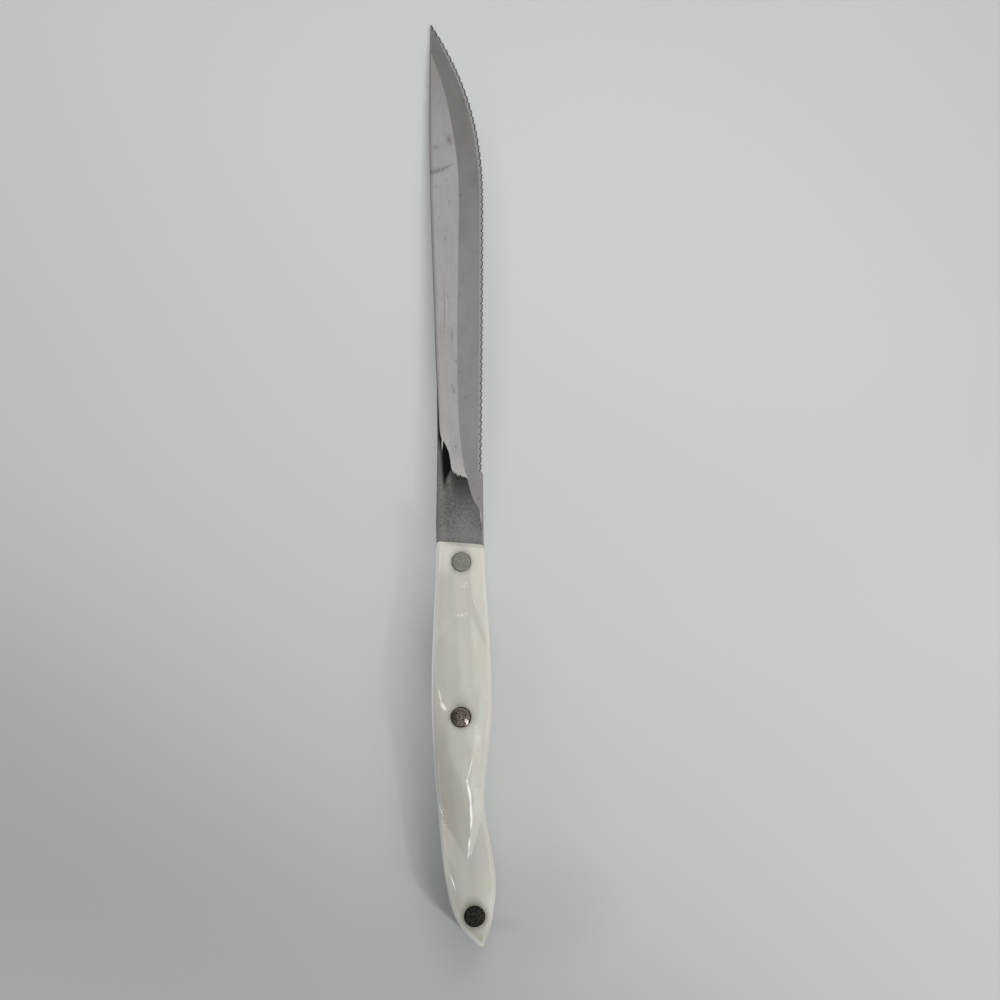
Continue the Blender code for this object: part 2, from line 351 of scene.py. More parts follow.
@dataclass(frozen=True)
class Mark:
    """A mark of dirt, a scratch, a painted glint or a patch of tone, painted light or painted shade, as an
    oval in the knife's own axes.
    """

    across: float
    along: float
    half_width: float
    half_length: float
    turn: float
    strength: float


@dataclass(frozen=True)
class Grain:
    """A cloud noise: its scale, its make-up, and how its coordinates are stretched, moved and turned."""

    scale: float
    detail: float = 3.0
    roughness: float = 0.55
    distortion: float = 0.0
    stretch: Stretch = EVEN
    shift: Stretch = (0, 0, 0)
    turn: float = 0.0


class Wire:
    """A shader value that takes part in Python arithmetic."""

    def __init__(self, nodes: "NodeTools", socket: Optional[bpy.types.NodeSocket]) -> None:
        """Hold the output socket of a node, or nothing where a node has no output."""
        self.nodes, self.socket = nodes, socket

    def __add__(self, other: Value) -> "Wire":
        """Add."""
        return self.nodes.math("ADD", self, other)

    def __sub__(self, other: Value) -> "Wire":
        """Subtract."""
        return self.nodes.math("SUBTRACT", self, other)

    def __rsub__(self, other: Value) -> "Wire":
        """Subtract from a number."""
        return self.nodes.math("SUBTRACT", other, self)

    def __mul__(self, other: Value) -> "Wire":
        """Multiply."""
        return self.nodes.math("MULTIPLY", self, other)

    def __truediv__(self, other: Value) -> "Wire":
        """Divide."""
        return self.nodes.math("DIVIDE", self, other)

    __radd__ = __add__
    __rmul__ = __mul__

    def ramp(self, low: float, high: float) -> "Wire":
        """Rise smoothly between two values, or fall where the first is the higher.

        Args:
            low: Value that gives 0.
            high: Value that gives 1.

        Returns:
            The smooth step.
        """
        if low > high:
            return 1 - self.ramp(high, low)
        sockets = {"Value": self, "From Min": low, "From Max": high}
        return self.nodes.node("ShaderNodeMapRange", {"interpolation_type": "SMOOTHSTEP"}, sockets)


class NodeTools:
    """Adds the nodes of one material or of the world."""

    def __init__(self, tree: bpy.types.NodeTree) -> None:
        """Empty a node tree to fill it."""
        self.tree = tree
        self.tree.nodes.clear()

    def node(self, kind: str, settings: dict[str, Any], sockets: dict[str, Value],
             output: str = "") -> Wire:
        """Add a node.

        Args:
            kind: Node type.
            settings: Properties of the node, set first: a curve's points, a ramp's stops or others by name.
            sockets: Values or links of its inputs, by identifier or name.
            output: Identifier or name of the output to return; empty for the first one.

        Returns:
            The chosen output.
        """
        node = self.tree.nodes.new(kind)
        for key, setting in settings.items():
            if key == "points":
                self.bend(node.mapping, setting)
            elif key == "stops":
                self.grade(node.color_ramp, setting)
            else:
                setattr(node, key, setting)
        for key, value in sockets.items():
            found = [socket for socket in node.inputs if key in (socket.identifier, socket.name)]
            self.feed(found[0], value)
        outputs = [socket for socket in node.outputs if output in ("", socket.identifier, socket.name)]
        return Wire(self, outputs[0] if outputs else None)

    @staticmethod
    def bend(mapping: bpy.types.CurveMapping, points: Points) -> None:
        """Bend a curve node's line.

        Args:
            mapping: Line of the node.
            points: Places and heights between 0 and 1.
        """
        line = mapping.curves[0].points
        while len(line) < len(points):
            line.new(0.5, 0.5)
        for point, place in zip(line, points):
            point.location = place
        mapping.update()

    @staticmethod
    def grade(ramp: bpy.types.ColorRamp, stops: Points) -> None:
        """Set a ramp's stops.

        Args:
            ramp: Ramp of the node.
            stops: Places between 0 and 1, and the grey tone at each.
        """
        ramp.interpolation = "LINEAR"
        while len(ramp.elements) < len(stops):
            ramp.elements.new(0.5)
        for element, (place, tone) in zip(ramp.elements, stops):
            element.position = place
            element.color = (tone, tone, tone, 1.0)

    def feed(self, socket: bpy.types.NodeSocket, value: Value) -> None:
        """Link a wire to a socket, or set a number or colour on it.

        Args:
            socket: Input of a node.
            value: What it takes.
        """
        if isinstance(value, Wire):
            self.tree.links.new(value.socket, socket)
        elif socket.type == "RGBA" and len(value) == 3:
            socket.default_value = (*value, 1.0)
        else:
            socket.default_value = value

    def math(self, operation: str, one: Value, other: Value) -> Wire:
        """Add a Math node of two values."""
        return self.node("ShaderNodeMath", {"operation": operation}, {"Value": one, "Value_001": other})


class Paint(NodeTools):
    """One node material: a Principled shader and the nodes that feed it."""

    def __init__(self, name: str) -> None:
        """Start an empty material."""
        self.material = bpy.data.materials.new(name)
        self.material.use_nodes = True
        super().__init__(self.material.node_tree)
        self.place = self.node("ShaderNodeTexCoord", {}, {}, "Object")

    def mix(self, factor: Value, one: Value, other: Value) -> Wire:
        """Blend from one colour to another."""
        sockets = {"Factor_Float": factor, "A_Color": one, "B_Color": other}
        return self.node("ShaderNodeMix", {"data_type": "RGBA"}, sockets, "Result_Color")

    def scaled(self, colour: Value, factor: Wire) -> Wire:
        """Multiply a colour by a number."""
        sockets = {"Vector": colour, "Scale": factor}
        return self.node("ShaderNodeVectorMath", {"operation": "SCALE"}, sockets, "Vector")

    def curve(self, value: Wire, points: Points, high: float = 1.0) -> Wire:
        """Read a curve through points at a value.

        Args:
            value: Place along the curve, from 0 to its last point.
            points: Places and heights of the curve.
            high: Height above all its points.

        Returns:
            The height of the curve.
        """
        wide = points[-1][0]
        shares = tuple((place / wide, height / high) for place, height in points)
        return high * self.node("ShaderNodeFloatCurve", {"points": shares}, {"Value": value / wide})

    def attribute(self, name: str) -> Wire:
        """Read a value kept on the piece's points."""
        return self.node("ShaderNodeAttribute", {"attribute_name": name}, {}, "Fac")

    def axis(self, letter: str) -> Wire:
        """Read one object coordinate in metres."""
        return self.node("ShaderNodeSeparateXYZ", {}, {"Vector": self.place}, letter)

    def noise(self, grain: Grain) -> Wire:
        """Add cloud noise, which swings round its middle.

        Args:
            grain: The noise, whose stretch says whether its coordinates are mapped.

        Returns:
            The noise at each place.
        """
        where = self.place
        if grain.stretch != EVEN:
            mapping = {"Vector": self.place, "Location": grain.shift, "Scale": grain.stretch,
                       "Rotation": (0.0, 0.0, math.radians(grain.turn))}
            where = self.node("ShaderNodeMapping", {"vector_type": "POINT"}, mapping)
        sockets = {"Vector": where, "Scale": grain.scale, "Detail": grain.detail,
                   "Roughness": grain.roughness, "Distortion": grain.distortion}
        return self.node("ShaderNodeTexNoise", {}, sockets, "Fac")

    def specks(self, scale: float, fade: Fade) -> Wire:
        """Add round specks: 1 in the middle of each, 0 outside."""
        cells = self.node("ShaderNodeTexVoronoi", {}, {"Vector": self.place, "Scale": scale}, "Distance")
        return cells.ramp(*fade)

    def spot(self, centre: tuple[float, float], size: tuple[float, float], turn: float = 0.0) -> Wire:
        """Measure the distance from a place on the knife, in shares of an oval's half sizes.

        Args:
            centre: Frame coordinates of the oval's middle.
            size: Half length of the oval across and along the knife.
            turn: Turn of the oval about the upright axis in degrees.

        Returns:
            0 in the middle of the oval, 1 on its outline.
        """
        sockets = {"Vector": self.place, "Location": (*centre, 0.0), "Scale": (*size, PLAN_ONLY),
                   "Rotation": (0.0, 0.0, math.radians(turn))}
        offset = self.node("ShaderNodeMapping", {"vector_type": "TEXTURE"}, sockets)
        return self.node("ShaderNodeVectorMath", {"operation": "LENGTH"}, {"Vector": offset}, "Value")

    def away(self, mark: Mark, axes: KnifeAxes) -> Wire:
        """Measure the distance from a mark's middle, in shares of its half sizes."""
        centre = (mark.across + axes.spine, mark.along + axes.front)
        return self.spot(centre, (mark.half_width, mark.half_length), mark.turn)

    def lay(self, colour: Value, marks: tuple[Mark, ...], axes: KnifeAxes, tint: Colour,
            fade: Fade) -> Wire:
        """Lay marks of one tint over a colour.

        Args:
            colour: Colour under the marks.
            marks: Marks to lay.
            axes: Where the knife lies.
            tint: Colour of the marks.
            fade: Shares of its oval where a mark begins and where it is full.

        Returns:
            The marked colour.
        """
        for mark in marks:
            colour = self.mix(mark.strength * self.away(mark, axes).ramp(*fade), colour, tint)
        return colour

    def bump(self, height: Wire, distance: float, strength: float) -> Wire:
        """Turn a height between 0 and 1 into a surface normal; the distance is in metres."""
        sockets = {"Height": height, "Distance": distance, "Strength": strength}
        return self.node("ShaderNodeBump", {}, sockets)

    def finish(self, **sockets: Value) -> bpy.types.Material:
        """Add the Principled shader and return the material.

        Args:
            **sockets: Inputs of the shader, with underscores for spaces.

        Returns:
            The finished material.
        """
        named = {key.replace("_", " "): value for key, value in sockets.items()}
        shader = self.node("ShaderNodeBsdfPrincipled", {}, named)
        self.node("ShaderNodeOutputMaterial", {}, {"Surface": shader})
        return self.material


@dataclass(frozen=True)
class GroundSteel:
    """Worn satin steel: ground flats, a finer bevel, bright tooth facets, painted glints, painted shade on
    the spine and in the gullets, and a heel with painted dark reflections.
    """

    flat: Colour = (0.626, 0.617, 0.604)
    flat_tip: Colour = (0.455, 0.449, 0.440)
    bevel: Colour = (0.471, 0.460, 0.452)
    bevel_tip: Colour = (0.335, 0.330, 0.328)
    facet: Colour = (0.56, 0.55, 0.535)
    facet_share: float = 0.85
    # Painted shade of the rounded spine
    spine: Colour = (0.12, 0.122, 0.118)
    # Painted shadow in the notches of the teeth
    gullet: Colour = (0.035, 0.034, 0.033)
    heel_dark: Colour = (0.178, 0.176, 0.173)
    heel_light: Colour = (0.395, 0.391, 0.380)
    # Painted dark reflection of the heel, for the shade and the line behind the flat's end and for the black
    # patch
    dark_reflection: Colour = (0.012, 0.012, 0.013)
    # Painted highlight tone of the glints and of the bright specks at the flat's end
    painted_shine: Colour = (0.80, 0.79, 0.77)
    dirt: Colour = (0.13, 0.125, 0.118)
    # Reaches between which the tip's tone gives way to the tone of the rest
    flat_fade: Fade = (0.160, 0.125)
    bevel_fade: Fade = (0.165, 0.070)
    # Grinding lines on the flat, on the bevel and at the jagged end of the flat
    flat_lines: Grain = Grain(1.0, 4.0, 0.6, stretch=(5200, 45, 900))
    bevel_lines: Grain = Grain(1.0, 3.0, 0.6, stretch=(260, 6500, 900))
    comb: Grain = Grain(1.0, 3.0, 0.65, stretch=(2600, 90, 1))
    comb_length: float = 0.0034
    comb_across: Fade = (0.0020, 0.0050)
    # Noises of the wear, from coarse to fine, and the mottle of the heel
    cloud: Grain = Grain(130, 4.0, 0.6, 0.4, stretch=(1.0, 0.5, 1.0))
    smudge: Grain = Grain(700, 4.0, 0.75, stretch=(1, 0.6, 1), shift=(0.31, 0.7, 0))
    speckle: Grain = Grain(2400, 3.0, 0.7)
    dots: Grain = Grain(3600, 2.0, 0.7)
    mottle: Grain = Grain(1100, 6.0, 0.8)
    # Shares of the lines, the clouds and the smudges in the wear, and how far wear shows as dirt
    line_wear: float = 0.22
    cloud_wear: float = 0.24
    smudge_wear: float = 0.35
    smudge_fade: Fade = (0.60, 0.80)
    wear_fade: Fade = (-0.10, 0.40)
    # Place across and reach of the jagged end of the ground flat, and a height above all its reaches
    flat_end: Points = ((0.0, 0.076), (0.0005, 0.060), (0.0010, 0.0472), (0.0016, 0.0363),
                        (0.0035, 0.0325), (0.00465, 0.0288), (0.00505, 0.0252), (0.0056, 0.0242),
                        (0.0069, 0.0231), (0.018, 0.0222))
    flat_end_high: float = 0.080
    heel_fade: Fade = (0.0003, -0.0003)
    # Share of the painted bright specks on the flat, and where they come in: by its end, across and by the
    # noise
    speck_share: float = 0.80
    speck_fade: Fade = (0.0090, 0.0005)
    speck_across: Fade = (0.0016, 0.0042)
    speckle_fade: Fade = (0.40, 0.60)
    # Shares of the clouds and the speckles in the heel's patches, and where these turn light
    heel_cloud: float = 0.3
    heel_speckle: float = 0.45
    heel_light_fade: Fade = (0.36, 0.86)
    # Light patch of the heel, and lighter bands along its spine side and beside the handle
    heel_patch: Mark = Mark(0.0082, 0.0065, 0.0098, 0.0095, 0, 0.16)
    spine_band: float = 0.18
    spine_band_fade: Fade = (0.0040, 0.0008)
    handle_band: float = 0.17
    handle_band_fade: Fade = (0.0065, 0.0020)
    # Reach and place across of the spine side of the painted black reflection, and a place above all of them
    reflection_side: Points = ((0.0, 0.0032), (0.0220, 0.0023), (0.0250, 0.0021), (0.0288, 0.0019),
                          (0.0325, 0.0014), (0.0363, 0.0008), (0.0600, 0.0))
    reflection_side_high: float = 0.004
    reflection_begin: Fade = (-0.0010, 0.0006)
    reflection_ragged: float = 0.0016
    # Places across where the painted black reflection ends, how far it narrows toward the handle, and the
    # reaches of that
    reflection_across: Fade = (0.0062, 0.0047)
    reflection_narrowing: float = 0.0021
    reflection_narrows: Fade = (0.0262, 0.0205)
    reflection_tail: Fade = (0.0160, 0.0222)
    tail_ragged: float = 0.004
    # Dark shade behind the flat's end: its share, where it comes in and how ragged it is
    shade_share: float = 0.62
    shade_fade: Fade = (-0.0100, -0.0020)
    shade_ragged: float = 0.010
    shade_across: Fade = (0.0022, 0.0066)
    shade_side_ragged: float = 0.0024
    # Share and place of the painted dark line along the flat's end
    line_share: float = 0.55
    line_fade: Fade = (-0.0022, 0.0)
    # Reaches and shares of the painted shade on the rounded spine, which is darker near the handle
    spine_fade: Fade = (0.160, 0.115)
    spine_share: float = 0.48
    spine_extra: float = 0.32
    spine_extra_fade: Fade = (0.060, 0.040)
    ragged: float = 6.0
    marks: tuple[Mark, ...] = (
        Mark(0.0012, 0.1236, 0.0030, 0.0010, 12, 0.60), Mark(0.0044, 0.1248, 0.0030, 0.0006, 20, 0.45),
        Mark(0.0056, 0.1340, 0.0010, 0.0016, 0, 0.60), Mark(0.0012, 0.1315, 0.0010, 0.0008, 0, 0.4),
        Mark(0.0010, 0.1185, 0.0012, 0.0004, 0, 0.4), Mark(0.0034, 0.0765, 0.00012, 0.0075, -0.6, 0.65),
        Mark(0.0058, 0.0690, 0.0005, 0.0030, 0, 0.35), Mark(0.0061, 0.0510, 0.0007, 0.0014, 8, 0.35),
        Mark(0.0140, 0.0150, 0.0004, 0.0004, 0, 0.7))
    # Painted highlights, as bright slivers near the heel
    glints: tuple[Mark, ...] = (Mark(0.00215, 0.0338, 0.00030, 0.0036, -2, 0.95),
                                Mark(0.0146, 0.0091, 0.00025, 0.0030, 4, 0.80))
    mark_fade: Fade = (1.0, 0.3)
    # Roughness of the flat, and what the bevel, the heel, the clouds and dark places add to it
    roughness: float = 0.27
    bevel_rough: float = 0.06
    heel_rough: float = 0.16
    cloud_rough: float = 0.12
    dark_rough: float = 0.3
    line_height: float = 0.00002
    line_strength: float = 0.35

    def make(self, axes: KnifeAxes) -> bpy.types.Material:
        """Mix the steel.

        Args:
            axes: Where the knife lies, to place marks along it.

        Returns:
            The material.
        """
        paint = Paint("ground_steel")
        bevel, facet, gullet = (paint.attribute(name) for name in ("bevel", "facet", "gullet"))
        rolled = paint.attribute("rolled")
        across, along = paint.axis("X") - axes.spine, paint.axis("Y") - axes.front
        cloud, speckle, dots = (paint.noise(grain) for grain in (self.cloud, self.speckle, self.dots))
        texture = paint.noise(self.flat_lines) * (1 - bevel) + paint.noise(self.bevel_lines) * bevel
        bevel_tone = paint.mix(along.ramp(*self.bevel_fade), self.bevel_tip, self.bevel)
        flat_tone = paint.mix(along.ramp(*self.flat_fade), self.flat_tip, self.flat)
        colour = paint.mix(bevel, flat_tone, bevel_tone)
        wear = self.line_wear * (texture - NOISE_MIDDLE) + self.cloud_wear * (cloud - NOISE_MIDDLE)
        wear = wear - self.smudge_wear * paint.noise(self.smudge).ramp(*self.smudge_fade)
        colour = paint.mix((0.0 - wear).ramp(*self.wear_fade), colour, self.dirt)
        for mark in self.marks:
            away = paint.away(mark, axes) + self.ragged * (dots - NOISE_MIDDLE)
            colour = paint.mix(mark.strength * away.ramp(*self.mark_fade), colour, self.dirt)
        comb = self.comb_length * (paint.noise(self.comb) - NOISE_MIDDLE)
        runout = along - paint.curve(across, self.flat_end, self.flat_end_high)
        runout = runout + comb * across.ramp(*self.comb_across)
        # Painted bright specks at the flat's jagged end
        specks = runout.ramp(*self.speck_fade) * across.ramp(*self.speck_across) * (1 - bevel)
        specks = self.speck_share * specks * speckle.ramp(*self.speckle_fade)
        colour = paint.mix(specks, colour, self.painted_shine)
        heel = runout.ramp(*self.heel_fade) * (1 - bevel)
        heel_colour = self.heel_tone(paint, axes, runout, cloud, speckle)
        colour = paint.mix(heel, colour, heel_colour)
        # Painted highlights
        colour = paint.lay(colour, self.glints, axes, self.painted_shine, self.mark_fade)
        colour = paint.mix(self.facet_share * facet, colour, self.facet)
        # Painted shadow in the gullets
        colour = paint.mix(gullet, colour, self.gullet)
        # Painted shade along the rounded spine
        spine_shade = self.spine_share + self.spine_extra * along.ramp(*self.spine_extra_fade)
        spine_shade = along.ramp(*self.spine_fade) * spine_shade
        colour = paint.mix(rolled * spine_shade, colour, self.spine)
        rough = self.roughness + self.bevel_rough * bevel + self.heel_rough * heel
        rough = rough + self.cloud_rough * (cloud - NOISE_MIDDLE) + self.dark_rough * (gullet + rolled)
        return paint.finish(Base_Color=colour, Metallic=1.0, Roughness=rough,
                            Normal=paint.bump(texture, self.line_height, self.line_strength))

    def heel_tone(self, paint: Paint, axes: KnifeAxes, runout: Wire, cloud: Wire, speckle: Wire) -> Wire:
        """Mix the colour of the unground heel.

        Args:
            paint: Paint of the blade.
            axes: Where the knife lies.
            runout: Distance to the jagged end of the ground flat.
            cloud: Coarse noise of the blade.
            speckle: Fine noise of the blade.

        Returns:
            The colour of the heel with its painted dark reflections.
        """
        across, along = paint.axis("X") - axes.spine, paint.axis("Y") - axes.front
        mottle = paint.noise(self.mottle)
        uneven = mottle - NOISE_MIDDLE
        patch = self.heel_patch.strength * paint.away(self.heel_patch, axes).ramp(1.0, 0.0)
        patchy = mottle + patch + self.heel_cloud * (cloud - NOISE_MIDDLE)
        patchy = patchy + self.heel_speckle * (speckle - NOISE_MIDDLE)
        patchy = patchy + self.spine_band * across.ramp(*self.spine_band_fade)
        patchy = patchy + self.handle_band * along.ramp(*self.handle_band_fade)
        colour = paint.mix(patchy.ramp(*self.heel_light_fade), self.heel_dark, self.heel_light)
        shade = (runout + self.shade_ragged * uneven).ramp(*self.shade_fade)
        shade = shade * (across + self.shade_side_ragged * uneven).ramp(*self.shade_across)
        colour = paint.mix(self.shade_share * shade, colour, self.dark_reflection)
        colour = paint.mix(self.line_share * runout.ramp(*self.line_fade), colour, self.dark_reflection)
        # Painted black reflection along the heel's spine side, where the flat runs out
        beside = across - paint.curve(along, self.reflection_side, self.reflection_side_high)
        narrowed = across + self.reflection_narrowing * along.ramp(*self.reflection_narrows)
        black = (beside + self.reflection_ragged * uneven).ramp(*self.reflection_begin)
        black = black * narrowed.ramp(*self.reflection_across)
        black = black * (along + self.tail_ragged * uneven).ramp(*self.reflection_tail)
        return paint.mix(black, colour, self.dark_reflection)


@dataclass(frozen=True)
class PearlResin:
    """Polished pearly resin, with painted light and shade by how it leans to the light, a painted light rim
    and glow, painted highlights, and grime round its rivets.
    """

    cream: Colour = (0.520, 0.502, 0.436)
    pink: Colour = (0.513, 0.480, 0.433)
    grey: Colour = (0.492, 0.496, 0.458)
    mist: Colour = (0.512, 0.510, 0.472)
    grime: Colour = (0.16, 0.15, 0.115)
    # Painted light of the rim, and its painted glow given off as emission
    rim: Colour = (0.60, 0.61, 0.59)
    glow: Colour = (0.26, 0.262, 0.250)
    # Painted light of the glints, the lighter patches and the sparkles
    painted_light: Colour = (0.98, 0.97, 0.92)
    # Clouds and veils of the pearl, and where they turn pink and grey
    cloud: Grain = Grain(150, 2.0, 0.5, 0.6, stretch=(1.0, 0.40, 1.0))
    veil: Grain = Grain(110, 2.0, 0.5, 0.8, stretch=(1.0, 0.45, 1.0), shift=(0.4, 0.2, 0.1))
    pearl_fade: Fade = (0.46, 0.66)
    # Painted shade that deepens over setbacks, along the handle and again at the butt
    age: float = 0.15
    falloff_shade_fade: Fade = (0.030, 0.100)
    butt_shade: float = 0.16
    butt_shade_fade: Fade = (0.114, 0.130)
    # Leans between which painted light brightens the pearl, its strength and what it gains behind the palm's
    # top
    shine_lean: Fade = (0.02, 0.13)
    shine_end: Fade = (0.60, 0.20)
    painted_shine: float = 0.06
    shine_gain: float = 0.07
    shine_fade: Fade = (0.045, 0.060)
    # Painted shade on the flank that leans away from the light, which turns to painted light across the knife
    flank_lean: Fade = (-0.12, -0.26)
    flank_fade: Fade = (0.060, 0.085)
    flank_dim: float = 0.10
    flank_less: float = 0.18
    flank_across: Fade = (0.0, 0.0095)
    streaks: Grain = Grain(1.0, 3.0, 0.6, stretch=(430, 32, 430))
    streak_depth: float = 0.14
    # Place and slant of the front edge, and the band of painted shade that follows it
    nose_start: float = 0.00105
    nose_slant: float = 0.0839
    nose_shade: float = 0.20
    nose_begin: Fade = (0.0003, 0.0006)
    nose_end: Fade = (0.0014, 0.0010)
    nose_across: Fade = (0.0020, 0.0060)
    # Painted light rim along the spine side, weaker round the butt, and the share of its painted glow behind
    # the palm
    rim_share: float = 0.8
    rim_butt: float = 0.30
    rim_butt_fade: Fade = (0.106, 0.116)
    rim_lean: Fade = (0.02, -0.06)
    rim_rear: float = 0.50
    rim_fade: Fade = (0.075, 0.045)
    # Specks of dust and the clouds that they gather in
    dust: float = 0.30
    dust_scale: float = 700
    dust_size: Fade = (0.16, 0.064)
    dust_clouds: Grain = Grain(240)
    dust_fade: Fade = (0.52, 0.66)
    # Ring of grime round a rivet and the halo round that, in shares of the rivet's radius
    ring: float = 0.50
    ring_fade: Fade = (1.30, 1.00)
    ring_grain: Grain = Grain(1500, 4.0, 0.7)
    ring_ragged: Fade = (0.36, 0.66)
    halo_fade: Fade = (1.65, 0.95)
    # Painted highlights: bright slivers on creases
    glints: tuple[Mark, ...] = (
        Mark(0.0100, -0.0745, 0.00024, 0.0050, -15, 0.7), Mark(0.00965, -0.0816, 0.00062, 0.0034, 11, 0.95),
        Mark(0.0102, -0.0883, 0.00058, 0.0054, 1, 0.95), Mark(0.0101, -0.0926, 0.00030, 0.0026, -5, 0.9),
        Mark(0.0094, -0.0993, 0.00040, 0.0028, -4, 0.8), Mark(0.0091, -0.1026, 0.00026, 0.0020, -10, 0.6),
        Mark(0.0004, -0.0502, 0.00030, 0.0034, 11, 0.9), Mark(0.0015, -0.0537, 0.00085, 0.0021, 30, 1.0),
        Mark(0.0001, -0.0877, 0.00024, 0.0030, 18, 0.6), Mark(0.0039, -0.1120, 0.00026, 0.0036, 17, 0.9),
        Mark(0.0125, -0.0199, 0.00016, 0.0036, 18, 0.35), Mark(0.0090, -0.0784, 0.00035, 0.0012, 0, 0.9),
        Mark(0.0099, -0.0838, 0.00045, 0.0028, 8, 0.9))
    glint_fade: Fade = (1.1, 0.2)
    # Misty patches of the pearl, patches of painted light, and darker patches
    mists: tuple[Mark, ...] = (Mark(0.0035, -0.0360, 0.0070, 0.0170, 0, 0.7),)
    blooms: tuple[Mark, ...] = (
        Mark(0.0016, -0.0030, 0.0060, 0.0070, 0, 0.17), Mark(0.0051, -0.0386, 0.0050, 0.0140, 0, 0.07),
        Mark(0.0016, -0.0550, 0.0042, 0.0095, 0, 0.13), Mark(0.0010, -0.0420, 0.0048, 0.0130, 0, 0.05),
        Mark(0.0105, -0.0455, 0.0030, 0.0080, 0, 0.06), Mark(0.0094, -0.0785, 0.0028, 0.0095, 4, 0.11),
        Mark(0.0150, -0.1225, 0.0036, 0.0080, -15, 0.13), Mark(0.0108, -0.0628, 0.0024, 0.0052, 0, 0.14),
        Mark(0.0040, -0.0290, 0.0034, 0.0058, 0, 0.08))
    bloom_fade: Fade = (1.2, 0.3)
    dark_patches: tuple[Mark, ...] = (
        Mark(0.0106, -0.1190, 0.0042, 0.0028, 0, 0.33), Mark(0.0070, -0.0522, 0.0038, 0.0026, 0, 0.20),
        Mark(0.0142, -0.0375, 0.0042, 0.0120, 0, 0.08))
    dark_patch_fade: Fade = (1.1, 0.3)
    # Patches of painted glints, as bright speckles
    sparkles: tuple[Mark, ...] = (
        Mark(0.0075, -0.0233, 0.0028, 0.0009, 0, 0.8), Mark(0.0085, -0.0136, 0.0020, 0.0016, 0, 0.7),
        Mark(0.0128, -0.0630, 0.0011, 0.0048, 8, 0.9), Mark(0.0012, -0.0905, 0.0012, 0.0048, 8, 0.8))
    sparkle_fade: Fade = (1.1, 0.5)
    speckle: Grain = Grain(2300, 2.0, 0.6)
    speckle_fade: Fade = (0.56, 0.66)
    # Roughness of clean resin, and what the clouds, the dirt and a lean to the light add to it
    roughness: float = 0.14
    cloud_rough: float = 0.08
    dirt_rough: float = 0.25
    lean_rough: float = 0.60
    dull_lean: Fade = (0.12, 0.34)
    coat: float = 0.05
    coat_rough: float = 0.15
    # Share, depth by colour and scale of the light that enters the resin
    depth_share: float = 0.25
    depth_radius: Colour = (1.0, 0.9, 0.8)
    depth_scale: float = 0.002
    waves: Grain = Grain(160, 2.0)
    wave_height: float = 0.0002
    wave_strength: float = 0.20

    def make(self, axes: KnifeAxes, rivets: list["Rivet"]) -> bpy.types.Material:
        """Mix the resin.

        Args:
            axes: Where the knife lies.
            rivets: Rivets that grime gathers round.

        Returns:
            The material.
        """
        paint = Paint("pearl_resin")
        lean, rim = paint.attribute("lean"), paint.attribute("rim")
        across, setback = paint.axis("X") - axes.spine, axes.front - paint.axis("Y")
        cloud, veil = paint.noise(self.cloud), paint.noise(self.veil)
        colour = paint.mix(cloud.ramp(*self.pearl_fade), self.cream, self.pink)
        colour = paint.mix(veil.ramp(*self.pearl_fade), colour, self.grey)
        colour = paint.lay(colour, self.mists, axes, self.mist, self.bloom_fade)
        # Painted light in lighter patches
        colour = paint.lay(colour, self.blooms, axes, self.painted_light, self.bloom_fade)
        # Painted light and shade, as a factor on the colour
        colour = paint.scaled(colour, self.lightness(paint, lean, setback, across))
        # Painted light rim along the spine side
        edge = rim * (1 - self.rim_butt * setback.ramp(*self.rim_butt_fade))
        colour = paint.mix(self.rim_share * edge, colour, self.rim)
        dirt = self.soiling(paint, axes, rivets)
        colour = paint.mix(dirt, colour, self.grime)
        # Painted highlights
        colour = paint.lay(colour, self.glints, axes, self.painted_light, self.glint_fade)
        # Painted glints, as bright speckles in patches
        speckle = paint.noise(self.speckle).ramp(*self.speckle_fade)
        for patch in self.sparkles:
            spark = paint.away(patch, axes).ramp(*self.sparkle_fade) * speckle
            colour = paint.mix(patch.strength * spark, colour, self.painted_light)
        waves = paint.noise(self.waves)
        rough = self.roughness + self.cloud_rough * (cloud - NOISE_MIDDLE) + self.dirt_rough * dirt
        rough = rough + self.lean_rough * lean.ramp(*self.dull_lean)
        # Painted glow of the rim, given off as emission
        strength = self.rim_rear + (1 - self.rim_rear) * setback.ramp(*self.rim_fade)
        light = paint.scaled(self.glow, edge * lean.ramp(*self.rim_lean) * strength)
        return paint.finish(Base_Color=colour, Roughness=rough, Coat_Weight=self.coat,
                            Coat_Roughness=self.coat_rough, Subsurface_Weight=self.depth_share,
                            Subsurface_Radius=self.depth_radius, Subsurface_Scale=self.depth_scale,
                            Emission_Color=light, Emission_Strength=1.0,
                            Normal=paint.bump(waves, self.wave_height, self.wave_strength))

    def lightness(self, paint: Paint, lean: Wire, setback: Wire, across: Wire) -> Wire:
        """Work out the painted light and shade of the pearl at each place.

        Args:
            paint: Paint of the scales.
            lean: How far the surface leans to the light.
            setback: Setback of the place.
            across: Place across the knife.

        Returns:
            The factor on the colour, round 1.
        """
        # Painted falloff of the light along the handle, and painted shade at the butt
        painted_falloff = self.age * setback.ramp(*self.falloff_shade_fade) + self.butt_shade * setback.ramp(*self.butt_shade_fade)
        # Painted light where the surface leans to the light
        painted_shine = lean.ramp(*self.shine_lean) * lean.ramp(*self.shine_end)
        painted_shine = painted_shine * (self.painted_shine + self.shine_gain * setback.ramp(*self.shine_fade))
        # Painted shade on the flank that leans away, turning to painted light across the knife
        flank = lean.ramp(*self.flank_lean) * setback.ramp(*self.flank_fade)
        flank = flank * (self.flank_dim - self.flank_less * across.ramp(*self.flank_across))
